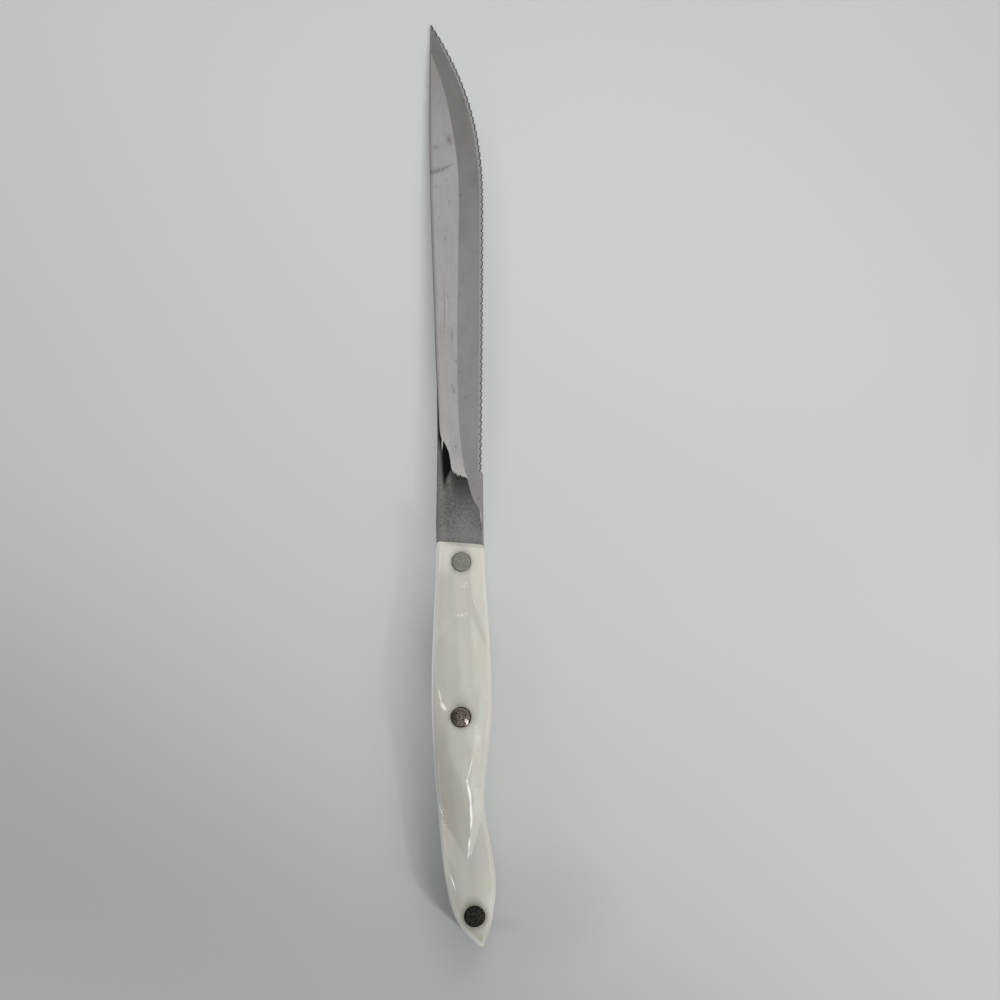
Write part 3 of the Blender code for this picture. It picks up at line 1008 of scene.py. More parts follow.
        # Painted shade in a band behind the slanted front edge
        inset = setback + self.nose_start - self.nose_slant * across
        nose = self.nose_shade * inset.ramp(*self.nose_begin) * inset.ramp(*self.nose_end)
        nose = nose * across.ramp(*self.nose_across)
        streaks = self.streak_depth * (paint.noise(self.streaks) - NOISE_MIDDLE)
        return 1 + painted_shine - painted_falloff - flank - nose + streaks

    def soiling(self, paint: Paint, axes: KnifeAxes, rivets: list["Rivet"]) -> Wire:
        """Work out how much dust, grime and darkening lies at each place.

        Args:
            paint: Paint of the scales.
            axes: Where the knife lies.
            rivets: Rivets that grime gathers round.

        Returns:
            The share of grime.
        """
        clouds = paint.noise(self.dust_clouds).ramp(*self.dust_fade)
        ragged = paint.noise(self.ring_grain).ramp(*self.ring_ragged)
        dirt = self.dust * paint.specks(self.dust_scale, self.dust_size) * clouds
        for dark_patch in self.dark_patches:
            dirt = dirt + dark_patch.strength * paint.away(dark_patch, axes).ramp(*self.dark_patch_fade)
        for rivet in rivets:
            away = rivet.away(paint)
            ring = self.ring * away.ramp(*self.ring_fade) * ragged
            dirt = dirt + ring + rivet.halo * away.ramp(*self.halo_fade)
        return dirt


@dataclass(frozen=True)
class Patina:
    """Tones of a rivet, its roughness, the depth of its pits and the soiling of its rim."""

    light: Colour
    dark: Colour
    rough: float
    depth: float
    soiled: float


@dataclass(frozen=True)
class NickelSilver:
    """Nickel silver rivet, darkened by use."""

    tarnish: Tarnish
    highlight_tone: Colour = (0.92, 0.85, 0.78)
    grime: Colour = (0.03, 0.027, 0.02)
    rim_fade: Fade = (0.90, 0.99)
    # Painted highlight, a bright spot placed from the rivet's middle
    wear_and_highlight: Mark = Mark(0.0019, -0.0013, 0.0009, 0.0012, 20, 1.0)
    highlight_fade: Fade = (1.1, 0.2)
    highlight_pits: Fade = (0.30, 0.50)
    # Pits and scratches, and the share of the scratches in the tone and in the height
    pits: Grain = Grain(1800, 3.0, 0.8)
    scratches: Grain = Grain(1.0, 2.0, stretch=(900, 9000, 900), turn=35)
    scratch_tone: float = 0.20
    scratch_height: float = 0.3
    tone_fade: Fade = (0.41, 0.59)
    pit_rough: float = 0.2
    pit_strength: float = 0.8

    def patina(self) -> Patina:
        """Return the patina of the rivet's tarnish."""
        return {
            Tarnish.CLEAN: Patina((0.475, 0.468, 0.39), (0.305, 0.298, 0.243), 0.46, 0.000006, 0.35),
            Tarnish.BROWN: Patina((0.37, 0.314, 0.264), (0.046, 0.039, 0.033), 0.24, 0.00005, 0.10),
            Tarnish.BLACK: Patina((0.072, 0.066, 0.053), (0.013, 0.012, 0.010), 0.55, 0.00004, 0.25),
        }[self.tarnish]

    def make(self, rivet: "Rivet") -> bpy.types.Material:
        """Mix the metal of one rivet.

        Args:
            rivet: Rivet to coat.

        Returns:
            The material.
        """
        patina = self.patina()
        paint = Paint("nickel_silver_" + self.tarnish.value)
        pits, scratches = paint.noise(self.pits), paint.noise(self.scratches)
        tone = (1 - self.scratch_tone) * pits + self.scratch_tone * scratches
        colour = paint.mix(tone.ramp(*self.tone_fade), patina.dark, patina.light)
        colour = paint.mix(patina.soiled * rivet.away(paint).ramp(*self.rim_fade), colour, self.grime)
        # Painted highlight on the brown rivet
        if self.tarnish is Tarnish.BROWN:
            axes = KnifeAxes(rivet.middle.x, rivet.middle.y, rivet.middle.z)
            wear_and_highlight = paint.away(self.wear_and_highlight, axes).ramp(*self.highlight_fade)
            colour = paint.mix(wear_and_highlight * pits.ramp(*self.highlight_pits), colour, self.highlight_tone)
        rough = patina.rough + self.pit_rough * (pits - NOISE_MIDDLE)
        height = (1 - self.scratch_height) * pits + self.scratch_height * scratches
        return paint.finish(Base_Color=colour, Metallic=1.0, Roughness=rough,
                            Normal=paint.bump(height, patina.depth, self.pit_strength))


@dataclass(frozen=True)
class PaleTable:
    """Plain pale table top, with painted shade and a painted glow."""

    tint: Colour = (0.973, 1.0, 0.990)
    # Distance along a slanted line, counted from shade_start, and the lightness of the table there
    shade_way: tuple[float, float] = (-0.527, -0.850)
    shade_start: float = -0.22
    shades: Points = ((0.0, 0.492), (0.050, 0.522), (0.090, 0.551), (0.150, 0.576), (0.190, 0.570),
                      (0.230, 0.558), (0.270, 0.536), (0.310, 0.502), (0.330, 0.472), (0.350, 0.437),
                      (0.370, 0.412), (0.390, 0.406), (0.430, 0.422))
    # Place along the frame, counted from glow_start, and the share of the tone that is the table's own light
    glow_start: float = -0.20
    glow: Points = ((0.0, 0.16), (0.060, 0.18), (0.080, 0.26), (0.112, 0.40), (0.145, 0.44),
                    (0.195, 0.60), (0.260, 0.44), (0.400, 0.42))
    # Painted shadows round the handle, the butt and the blade, placed in the frame
    painted_shadows: tuple[Mark, ...] = (
        Mark(0.0060, -0.1120, 0.050, 0.090, 0, 0.055), Mark(0.0260, -0.1400, 0.036, 0.028, 0, 0.070),
        Mark(0.0142, -0.0613, 0.020, 0.045, 0, 0.045), Mark(-0.0095, -0.0550, 0.0075, 0.0200, 0, 0.085),
        Mark(0.0125, -0.1462, 0.0085, 0.0036, 0, 0.060), Mark(0.0078, 0.0560, 0.0120, 0.0950, 0, 0.100))
    painted_shadow_fade: Fade = (1.0, 0.2)
    roughness: float = 0.7
    gloss: float = 0.2

    def make(self) -> bpy.types.Material:
        """Mix the table's paint, which falls into shade towards one corner and glows a little.

        Returns:
            The material.
        """
        paint = Paint("pale_table")
        slant = paint.axis("X") * self.shade_way[0] + paint.axis("Y") * self.shade_way[1]
        tone = paint.curve(slant - self.shade_start, self.shades)
        # Painted shadows on the ground near the knife
        for dim in self.painted_shadows:
            tone = tone * (1 - dim.strength * paint.away(dim, FRAME_AXES).ramp(*self.painted_shadow_fade))
        colour = paint.scaled(self.tint, tone)
        glow = paint.curve(paint.axis("Y") - self.glow_start, self.glow)
        return paint.finish(Base_Color=paint.scaled(colour, 1 - glow), Roughness=self.roughness,
                            Specular_IOR_Level=self.gloss, Emission_Color=paint.scaled(colour, glow),
                            Emission_Strength=1.0)


@dataclass(frozen=True)
class Handle:
    """Outline that the tang and both scales share."""

    length: float = 0.1334
    front_width: float = 0.0155
    front_slant: float = 0.0013
    palm_setback: float = 0.0520
    palm_spine_swell: float = 0.0024
    palm_edge_swell: float = 0.0021
    waist_setback: float = 0.0850
    waist_width: float = 0.01485
    beak_place: float = 0.0132
    beak_width: float = 0.0012
    # Length in front of the butt's end and place across the knife, on either side of the butt
    butt_spine_side: Points = ((0.0350, 0.0), (0.0146, 0.0028), (0.0056, 0.0069))
    butt_edge_side: Points = ((0.0205, 0.0181), (0.0104, 0.0170), (0.0026, 0.01485))

    def sides(self, setback: np.ndarray) -> tuple[np.ndarray, np.ndarray]:
        """Read the outline at setbacks.

        Args:
            setback: Setbacks to read at.

        Returns:
            Places across the knife of the spine side and of the edge side.
        """
        spine = [(0.0, 0.0), (self.palm_setback, -self.palm_spine_swell)]
        spine += [(self.length - ahead, place) for ahead, place in self.butt_spine_side]
        spine.append((self.length, self.beak_place - self.beak_width / 2))
        edge = [(0.0, self.front_width), (self.palm_setback, self.front_width + self.palm_edge_swell),
                (self.waist_setback, self.waist_width)]
        edge += [(self.length - ahead, place) for ahead, place in self.butt_edge_side]
        edge.append((self.length, self.beak_place + self.beak_width / 2))
        return smooth_line(tuple(spine), setback), smooth_line(tuple(edge), setback)

    def front_line(self, across: np.ndarray) -> np.ndarray:
        """Return how far the slanted front stands ahead of its middle."""
        return self.front_slant * (0.5 - across / self.front_width)


@dataclass
class Blade:
    """Blade and tang in one piece of steel."""

    handle: Handle
    length: float = 0.1720
    heel_width: float = 0.0155
    heel_reach: float = 0.0235
    heel_step: float = 0.0004
    belly_width: float = 0.0168
    belly_reach: float = 0.1140
    tip_width: float = 0.0005
    tip_curve: float = 2.3
    back_curve: float = 1.2
    flat_thickness: float = 0.0018
    tang_thickness: float = 0.0020
    edge_thickness: float = 0.0003
    spine_round: float = 0.00020
    bevel_width: float = 0.0083
    bevel_hollow: float = 0.22
    # Reach from the handle and width of the bevel there
    bevel_widths: Points = ((0.0, 0.0001), (0.0035, 0.0003), (0.0090, 0.0008), (0.0113, 0.0013),
                            (0.0151, 0.0034), (0.0217, 0.0052), (0.0270, 0.0061), (0.0376, 0.0075),
                            (0.0480, 0.0081), (0.0690, 0.0085), (0.1190, 0.0081), (0.1360, 0.0080),
                            (0.1445, 0.0075), (0.1540, 0.0067), (0.1630, 0.0057), (0.1720, 0.0010))
    # Place across the blade and reach where the ground flat runs out into the heel
    runout: Points = ((0.0, 0.0450), (0.0008, 0.0400), (0.0015, 0.0353), (0.0024, 0.0310),
                      (0.0036, 0.0283), (0.0044, 0.0254), (0.0055, 0.0237), (0.0072, 0.0227),
                      (0.0095, 0.0220), (0.0170, 0.0210))
    runout_length: float = 0.0050
    tooth_pitch: float = 0.0024
    tooth_depth: float = 0.00050
    # Where the teeth come in, from the end of the heel
    tooth_start: Fade = (-0.0002, 0.0008)
    # Place in a tooth, width and depth of its two notches, as shares of the pitch and of the depth
    notches: tuple = ((0.32, 0.17, 1.0), (0.74, 0.12, 0.45))
    tooth_rows: int = 20
    strip_width: float = 0.0013
    strip_fall: float = 0.06
    strip_blur: float = 0.00004
    gullet_width: float = 0.00025
    gullet_fall: float = 0.40
    # Distances from the notched edge where the painted shadow of a gullet begins and is full, and its least
    # share
    gullet_fade: Fade = (0.00060, 0.00025)
    gullet_least: float = 0.70
    facet_zone: float = 0.0018
    facet_start: float = 0.3
    # Most that each size may take of a width that narrows to the tip, and the least that the bevel takes
    most_rounding: float = 0.1
    most_zone: float = 0.4
    most_strip: float = 0.25
    most_lip: float = 0.01
    most_notch: float = 1 / 3
    least_bevel: float = 0.03
    # Least width of the rounded spine with the flat, in roundings, and least half thickness
    least_land: float = 1.5
    least_height: float = 0.00002
    # Reach and offset of a spine that is worn near the heel
    spine_bow: Points = ((-0.0040, 0.0), (0.0045, -0.00025), (0.0177, 0.0001), (0.0310, 0.00045),
                         (0.0425, 0.00062), (0.0509, 0.00060), (0.0641, 0.00025), (0.0774, 0.0),
                         (0.0907, -0.0003), (0.1040, -0.00060), (0.1172, -0.0008), (0.1305, -0.0009),
                         (0.1437, -0.0008), (0.1570, -0.0005), (0.1720, 0.0))
    # Part of the spine's rounding that its middle column keeps, and reaches where the painted shade on the
    # spine comes in
    rounding_step: float = 0.3
    rolled_fade: Fade = (1.0, 0.6)
    rolled_reach: Fade = (0.024, 0.040)
    lip: float = 0.00012
    lip_columns: int = 2
    flat_columns: int = 6
    bevel_columns: int = 8
    facet_columns: int = 10
    tang_rows: int = 150
    heel_rows: int = 48
    edge_steps: int = 4000
    crease_angle: float = 35

    def edge(self, reach: np.ndarray) -> np.ndarray:
        """Read the edge line, without the teeth.

        Args:
            reach: Reaches to read at.

        Returns:
            Distances from the spine to the edge line.
        """
        back = np.clip((self.belly_reach - reach) / (self.belly_reach - self.heel_reach), 0, 1)
        ahead = np.clip((reach - self.belly_reach) / (self.length - self.belly_reach), 0, 1)
        drop = (self.belly_width - self.heel_width + self.heel_step) * back ** self.back_curve
        width = self.belly_width - drop - (self.belly_width - self.tip_width) * ahead ** self.tip_curve
        blur = self.tooth_pitch / 4
        heel = soft_step(self.heel_reach + blur, self.heel_reach - blur, reach)
        return width + self.heel_step * heel

    def rows(self) -> tuple[np.ndarray, np.ndarray]:
        """Space the cross-sections from butt to tip.

        Returns:
            The reach of each cross-section, and its share of a tooth.
        """
        tang = -self.handle.length * np.sin(np.linspace(math.pi / 2, 0.0, self.tang_rows, endpoint=False))
        heel = np.linspace(0.0, self.heel_reach, self.heel_rows, endpoint=False)
        fine = np.linspace(self.heel_reach, self.length, self.edge_steps)
        run = np.concatenate([[0.0], np.cumsum(np.hypot(np.diff(fine), np.diff(self.edge(fine))))])
        teeth = round(run[-1] / self.tooth_pitch)
        share = np.linspace(0.0, teeth, teeth * self.tooth_rows + 1)
        serrated = np.interp(share / teeth * run[-1], run, fine)
        reach = np.concatenate([tang, heel, serrated])
        phase = np.concatenate([np.zeros(len(tang) + len(heel)), share % 1.0])
        return reach, phase

    def section(self, reach: np.ndarray, phase: np.ndarray) -> tuple[np.ndarray, np.ndarray, dict]:
        """Draw the upper half of every cross-section from the spine to the edge.

        Args:
            reach: Reach of each cross-section.
            phase: Share of a tooth at each cross-section.

        Returns:
            Places across, heights, and the named values of the points, as rows by columns.
        """
        spine, edge = self.handle.sides(-np.minimum(reach, 0.0))
        blade = reach >= 0
        bow = smooth_line(self.spine_bow, np.clip(reach, self.spine_bow[0][0], self.length))
        spine, edge = np.where(blade, 0.0, spine) + bow, np.where(blade, self.edge(reach), edge)
        width = edge - spine
        bevel = np.where(blade, smooth_line(self.bevel_widths, np.clip(reach, 0, self.length)), 0.0)
        scallop = sum(depth * np.exp(-((phase - place) / wide) ** 2) for place, wide, depth in self.notches)
        scallop = np.where(reach > self.heel_reach, scallop, 0.0)
        scallop = np.minimum(self.tooth_depth * scallop, width * self.most_notch)
        start, full = self.tooth_start
        serrated = column(soft_step(self.heel_reach + start, self.heel_reach + full, reach))
        rounding = np.minimum(self.spine_round, width * self.most_rounding)
        bevelled = np.maximum(bevel, width * self.least_bevel)
        land = np.maximum(edge - bevelled, spine + rounding * self.least_land)
        zone = np.minimum(self.facet_zone, width * self.most_zone)
        inner = np.maximum(edge - zone, land + (edge - land) * self.facet_start)
        lip = np.minimum(self.lip, width * self.most_lip)
        bends = (spine + rounding, land - lip, land + lip, inner, edge - scallop)
        counts = (self.flat_columns, self.lip_columns, self.bevel_columns, self.facet_columns)
        steps = [np.stack([spine, spine, spine + self.rounding_step * rounding, bends[0]], axis=1)]
        for near, far, count in zip(bends, bends[1:], counts):
            steps.append(column(near) + column(far - near) * np.linspace(0.0, 1.0, count + 1)[1:])
        across = np.concatenate(steps, axis=1)
        runout = column(reach) - smooth_line(self.runout, np.clip(across, 0, self.runout[-1][0]))
        ground = soft_step(-self.runout_length, 0.0, runout)
        body = self.tang_thickness / 2 + (self.flat_thickness - self.tang_thickness) / 2 * ground
        thin = column(np.where(blade, np.clip(width / self.bevel_width, 0, 1), 1.0))
        sharp = self.edge_thickness / 2
        top = sharp + (body - sharp) * thin
        fallen = np.clip(bevel / self.bevel_width, 0, 1) ** (reach < self.belly_reach)
        foot = top + (sharp - top) * column(np.where(blade, fallen, 0.0))
        share = np.clip((across - column(land)) / column(np.maximum(edge - land, MERGE_DISTANCE)), 0, 1)
        height = top + (foot - top) * (share + self.bevel_hollow * share * (1 - share))
        inward = column(edge) - across
        strip = column(np.minimum(self.strip_width, width * self.most_strip)) - inward
        hollow = inward - column(scallop)
        up = height - self.strip_fall * np.clip(strip, 0, None) * serrated
        up = up - self.gullet_fall * np.clip(self.gullet_width - hollow, 0, None) * serrated
        up = np.maximum(up, self.least_height)
        up[:, 0] = 0.0
        up[:, 1] = height[:, 1] - rounding
        up[:, 2] = height[:, 2] - self.rounding_step * rounding
        lower = -height
        lower[:, :3] = -up[:, :3]
        darkness = column(self.gullet_least + (1 - self.gullet_least) * scallop / self.tooth_depth)
        rolled = soft_step(*self.rolled_fade, (across - column(spine)) / column(rounding))
        values = {
            "bevel": soft_step(-self.lip, self.lip, across - column(land)) * column(blade * 1.0),
            "facet": soft_step(-self.strip_blur, self.strip_blur, strip) * serrated,
            "gullet": soft_step(*self.gullet_fade, hollow) * darkness * serrated,
            "rolled": rolled * column(soft_step(*self.rolled_reach, reach)),
        }
        return across, np.stack([up, lower]), values

    def build(self, axes: KnifeAxes) -> bpy.types.Object:
        """Model the blade as one sheet rolled round the edge and closed along the spine.

        Args:
            axes: Where the knife lies.

        Returns:
            The closed blade.
        """
        reach, phase = self.rows()
        across, (upper, lower), values = self.section(reach, phase)
        round_across = np.concatenate([across, across[:, ::-1]], axis=1)
        round_up = np.concatenate([upper, lower[:, ::-1]], axis=1)
        # The hidden side has no bright facets and no painted shadow in its gullets
        upper_only = ("facet", "gullet")
        both = {label: np.concatenate([value, value[:, ::-1] * (label not in upper_only)], axis=1)
                for label, value in values.items()}
        places = axes.placed(round_across, reach[:, None], round_up)
        blade = Bench.grid("serrated_blade", places, both)
        columns = places.shape[1]
        row = np.arange(len(blade.data.vertices)) // columns
        Bench.close(blade, row == 0)
        Bench.close(blade, row == len(reach) - 1)
        Bench.point_outwards(blade)
        return blade

    def dress(self, piece: bpy.types.Object, axes: KnifeAxes) -> None:
        """Give the blade its steel."""
        Bench.dress(piece, "blade", Slot.STEEL, GroundSteel().make(axes), self.crease_angle)


@dataclass
class Scales:
    """The two handle scales: a faceted palm swell between a flat front and a rounded butt."""

    handle: Handle
    seat: float = 0.0010
    shoulder: float = 0.0030
    front_height: float = 0.0056
    panel_height: float = 0.0080
    butt_height: float = 0.0048
    # Setback and place across of the point where the front ends in a V
    front_peak: tuple[float, float] = (0.0234, 0.00766)
    # Ridge behind that point: its lean across, its rise and its fall to either side
    upper_lean: float = 0.055
    upper_rise: float = 0.098
    upper_spine_fall: float = 0.230
    upper_edge_fall: float = 0.280
    # Half width of the ridge's flat top on the spine side and on the edge side
    upper_top: tuple[float, float] = (0.0006, 0.0024)
    # Rounding of the ridge at the point and at a setback behind it
    upper_round: tuple[float, float] = (0.0012, 0.0022)
    upper_end: float = 0.0479
    panel_spine_place: float = 0.0029
    # Setback and place across of the panel's rear point, and the way that the flank behind it falls
    panel_tail: tuple[float, float] = (0.0787, 0.0075)
    flank_way: tuple[float, float] = (0.469, 0.883)
    flank_fall: float = 0.283
    flank_round: float = 0.0010
    flank_corner: float = 0.0010
    palm_fall: float = 1.2
    # Setback with height and fall of the face on the edge side of the panel and of the ridge behind it
    side_height: Points = ((0.0400, 0.0088), (0.0585, 0.00842), (0.0655, 0.00825), (0.0750, 0.00804),
                           (0.0787, 0.00783), (0.0842, 0.00801), (0.0890, 0.00774), (0.0937, 0.00712),
                           (0.0966, 0.00646), (0.1009, 0.00551), (0.1043, 0.0046), (0.1334, -0.0020))
    side_fall: Points = ((0.0400, 0.13), (0.0585, 0.14), (0.0655, 0.15), (0.0787, 0.18), (0.0842, 0.26),
                         (0.0890, 0.48), (0.0937, 0.80), (0.0966, 0.82), (0.1009, 0.76), (0.1043, 0.74))
    side_place: float = 0.0095
    # Slope, width and spread of the rounding on the ridge's spine side, and setbacks where it comes in
    ridge_slope: float = 0.17
    ridge_width: float = 0.0015
    ridge_spread: float = 0.55
    ridge_fade: Fade = (0.0700, 0.0800)
    ridge_crease: float = 0.0001
    butt_middle: float = 0.0090
    butt_spine_radius: float = 0.20
    butt_edge_radius: float = 0.055
    butt_round: float = 0.0030
    # Sides of the flat front: where they begin, how they fall and how they are rounded
    front_spine_line: float = 0.0054
    front_edge_line: Points = ((0.0, 0.0106), (0.0157, 0.0115), (0.0214, 0.0130), (0.0254, 0.0140),
                               (0.0340, 0.0166), (0.0500, 0.0200))
    front_spine_fall: float = 0.12
    front_edge_fall: float = 0.22
    front_spine_round: float = 0.001
    front_edge_round: float = 0.0006
    front_fade: Fade = (0.004, 0.014)
    # Slope at which the front and the butt dive under the palm, and the setbacks where they start
    dive: float = 0.15
    front_dive: float = 0.045
    rear_dive: float = 0.075
    # Setback and width of the rounded edges, and the power of their profile
    spine_rounding: Points = ((0.0, 0.0012), (0.0500, 0.0014), (0.0840, 0.0012), (0.1000, 0.0016),
                              (0.1100, 0.0048), (0.1334, 0.0040))
    edge_rounding: Points = ((0.0, 0.0010), (0.0500, 0.0012), (0.0850, 0.0013), (0.1080, 0.0018),
                             (0.1334, 0.0014))
    edge_power: float = 2.2
    nose_round: float = 0.0009
    # Setbacks of the first rows, which draw the rounded nose, and where the even rows take over
    nose_rows: tuple[float, ...] = (0.0, 0.00008, 0.0002, 0.0004, 0.00065, 0.0009)
    nose_end: float = 0.0012
    corner_round: float = 0.0012
    front_lap: float = 0.0004
    slant_end: float = 0.02
    crease: float = 0.00025
    valley: float = 0.00006
    # Way to the light that each point's lean is measured against, for the resin's painted light and shade
    light_way: tuple[float, float] = (0.95, 0.30)
    steepest: float = 0.6
    # Setback and width of the painted light rim along the spine side
    rim_widths: Points = ((0.0, 0.0017), (0.0950, 0.0018), (0.1080, 0.0030), (0.1334, 0.0024))
    rows: int = 380
    # Share by which the rows crowd toward the butt
    row_crowding: float = 0.22
    columns: int = 84
    wall_columns: int = 4
    crease_angle: float = 50

    def relief(self, setback: np.ndarray, across: np.ndarray) -> np.ndarray:
        """Return the height of the carved top, before its edges are rounded.

        Args:
            setback: Setbacks of the points.
            across: Places of the points across the knife.

        Returns:
            Heights above the middle plane of the blade.
        """
        peak, middle = self.front_peak
        aside = across - middle - self.upper_lean * (setback - peak)
        spine_side = aside < 0
        rounding = soft_step(peak, self.upper_end, setback) * (self.upper_round[1] - self.upper_round[0])
        rounding = rounding + self.upper_round[0]
        upper_fall = np.where(spine_side, self.upper_spine_fall, self.upper_edge_fall)
        beyond = np.clip(np.abs(aside) - np.where(spine_side, *self.upper_top), 0, None)
        upper = self.front_height + self.upper_rise * (setback - peak)
        upper = upper - upper_fall * (np.sqrt(beyond ** 2 + rounding ** 2) - rounding)
        tail, tail_place = self.panel_tail
        back, side = self.flank_way
        flank = soft_max(self.palm_fall * (self.panel_spine_place - across),
                         side * (tail_place - across) + back * (setback - tail), self.flank_corner)
        hill = self.panel_height - self.flank_fall * soft_ramp(flank, self.flank_round)
        near, far = self.side_height[0][0], self.side_fall[-1][0]
        face_fall = smooth_line(self.side_fall, np.clip(setback, near, far))
        face = smooth_line(self.side_height, np.maximum(setback, near))
        face = face - face_fall * (across - self.side_place)
        gap = np.maximum(face - hill, 0.0) / (self.ridge_spread * self.ridge_width)
        wear_and_highlight = self.ridge_slope * self.ridge_width * np.exp(-gap)
        hill = hill - wear_and_highlight * soft_step(*self.ridge_fade, setback)
        palm = soft_min(upper, soft_min(hill, face, self.ridge_crease), self.crease)
        facet_edge = smooth_line(self.front_edge_line, np.clip(setback, 0, self.front_edge_line[-1][0]))
        spine_fall = self.front_spine_fall * soft_step(*self.front_fade, setback)
        front = self.front_height - self.dive * np.clip(setback - self.front_dive, 0, None)
        front = front - spine_fall * soft_ramp(self.front_spine_line - across, self.front_spine_round)
        front = front - self.front_edge_fall * soft_ramp(across - facet_edge, self.front_edge_round)
        radius = np.where(across < self.butt_middle, self.butt_spine_radius, self.butt_edge_radius)
        rear = self.butt_height - (across - self.butt_middle) ** 2 / (2 * radius)
        rear = rear - self.dive * np.clip(self.rear_dive - setback, 0, None)
        return soft_max(soft_max(front, palm, self.valley), rear, self.valley)

    def surface(self, axes: KnifeAxes) -> tuple[np.ndarray, dict[str, np.ndarray]]:
        """Draw the outside of the upper scale from seat to seat.

        Args:
            axes: Where the knife lies.

        Returns:
            Points as rows by columns by three, and the named values of the points.
        """
        share = np.linspace(0.0, 1.0, self.rows)
        share = (1 - self.row_crowding) * share + self.row_crowding * np.sin(math.pi / 2 * share)
        setback = self.handle.length * share
        setback = np.concatenate([self.nose_rows, setback[setback > self.nose_end]])
        spine, edge = self.handle.sides(setback)
        corner = np.clip(self.corner_round - setback, 0, None)
        corner = self.corner_round - np.sqrt(self.corner_round ** 2 - corner ** 2)
        spine, edge = spine + corner, edge - corner
        swing = 0.5 - 0.5 * np.cos(np.linspace(0, math.pi, self.columns))
        across = column(spine) + column(edge - spine) * swing
        from_spine = (across - column(spine)) / column(np.hypot(1, np.gradient(spine, setback)))
        from_edge = (column(edge) - across) / column(np.hypot(1, np.gradient(edge, setback)))
        level = np.ones_like(across)
        for away, rounding in ((from_spine, self.spine_rounding), (from_edge, self.edge_rounding)):
            inside = np.clip(away / column(smooth_line(rounding, setback)), 0, 1)
            level = level * (1 - (1 - inside) ** self.edge_power) ** (1 / self.edge_power)
        top = self.relief(column(setback), across)
        height = self.shoulder + (top - self.shoulder) * level
        nose = column(np.clip(setback / self.nose_round, 0, 1))
        height = height - self.nose_round * (1 - np.sqrt(1 - (1 - nose) ** 2)) * level
        end = column(np.clip((self.handle.length - setback) / self.butt_round, 0, 1))
        height = self.shoulder + (height - self.shoulder) * np.sqrt(1 - (1 - end) ** 2)
        slope_across = np.gradient(height, axis=1) / np.gradient(across, axis=1)
        slope_back = np.gradient(top, setback, axis=0) - slope_across * np.gradient(across, setback, axis=0)
        # Lean of each point to the light, which the resin's painted light and shade follow
        lean = self.light_way[1] * slope_back - self.light_way[0] * slope_across
        lean = np.clip(lean, -self.steepest, self.steepest)
        # Mask of the painted light rim along the spine side
        rim = 1 - soft_step(0.0, 1.0, from_spine / column(smooth_line(self.rim_widths, setback)))
        slanted = column(1 - soft_step(0.0, self.slant_end, setback))
        along = (self.handle.front_line(across) + self.front_lap) * slanted - column(setback)
        walls = ((0, 0), (self.wall_columns, self.wall_columns))
        across, along, lean, rim = (np.pad(value, walls, mode="edge") for value in (across, along, lean, rim))
        wall = np.linspace(self.seat, self.shoulder, self.wall_columns, endpoint=False)
        low = np.tile(wall, (len(setback), 1))
        height = np.concatenate([low, height, low[:, ::-1]], axis=1)
        return axes.placed(across, along, height), {"lean": lean, "rim": rim}

    def build(self, axes: KnifeAxes, rivets: list["Rivet"]) -> dict[Side, bpy.types.Object]:
        """Model the upper scale, sink its rivets, and mirror it for the lower side.

        Args:
            axes: Where the knife lies.
            rivets: Rivets that need seats.

        Returns:
            The scale of each side.
        """
        places, values = self.surface(axes)
        scale = Bench.grid("upper_scale", places, values)
        rows, columns = places.shape[0], places.shape[1]
        index = np.arange(rows * columns)
        row, place = index // columns, index % columns
        Bench.close(scale, row == 0)
        Bench.close(scale, row == rows - 1)
        Bench.close(scale, (place == 0) | (place == columns - 1))
        Bench.point_outwards(scale)
        for rivet in rivets:
            Bench.cut(scale, rivet.seat_cutter(self.seat, axes.middle))
        under = Bench.flipped_copy(scale, "lower_scale", axes.middle)
        return {Side.UPPER: scale, Side.LOWER: under}

    def dress(self, scales: dict[Side, bpy.types.Object], axes: KnifeAxes, rivets: list["Rivet"]) -> None:
        """Give the scales their resin.

        Args:
            scales: The scale of each side.
            axes: Where the knife lies.
            rivets: Rivets that grime gathers round.
        """
        resin = PearlResin().make(axes, rivets)
        for side, node in ((Side.UPPER, "right_scale"), (Side.LOWER, "left_scale")):
            Bench.dress(scales[side], node, Slot.RESIN, resin, self.crease_angle)


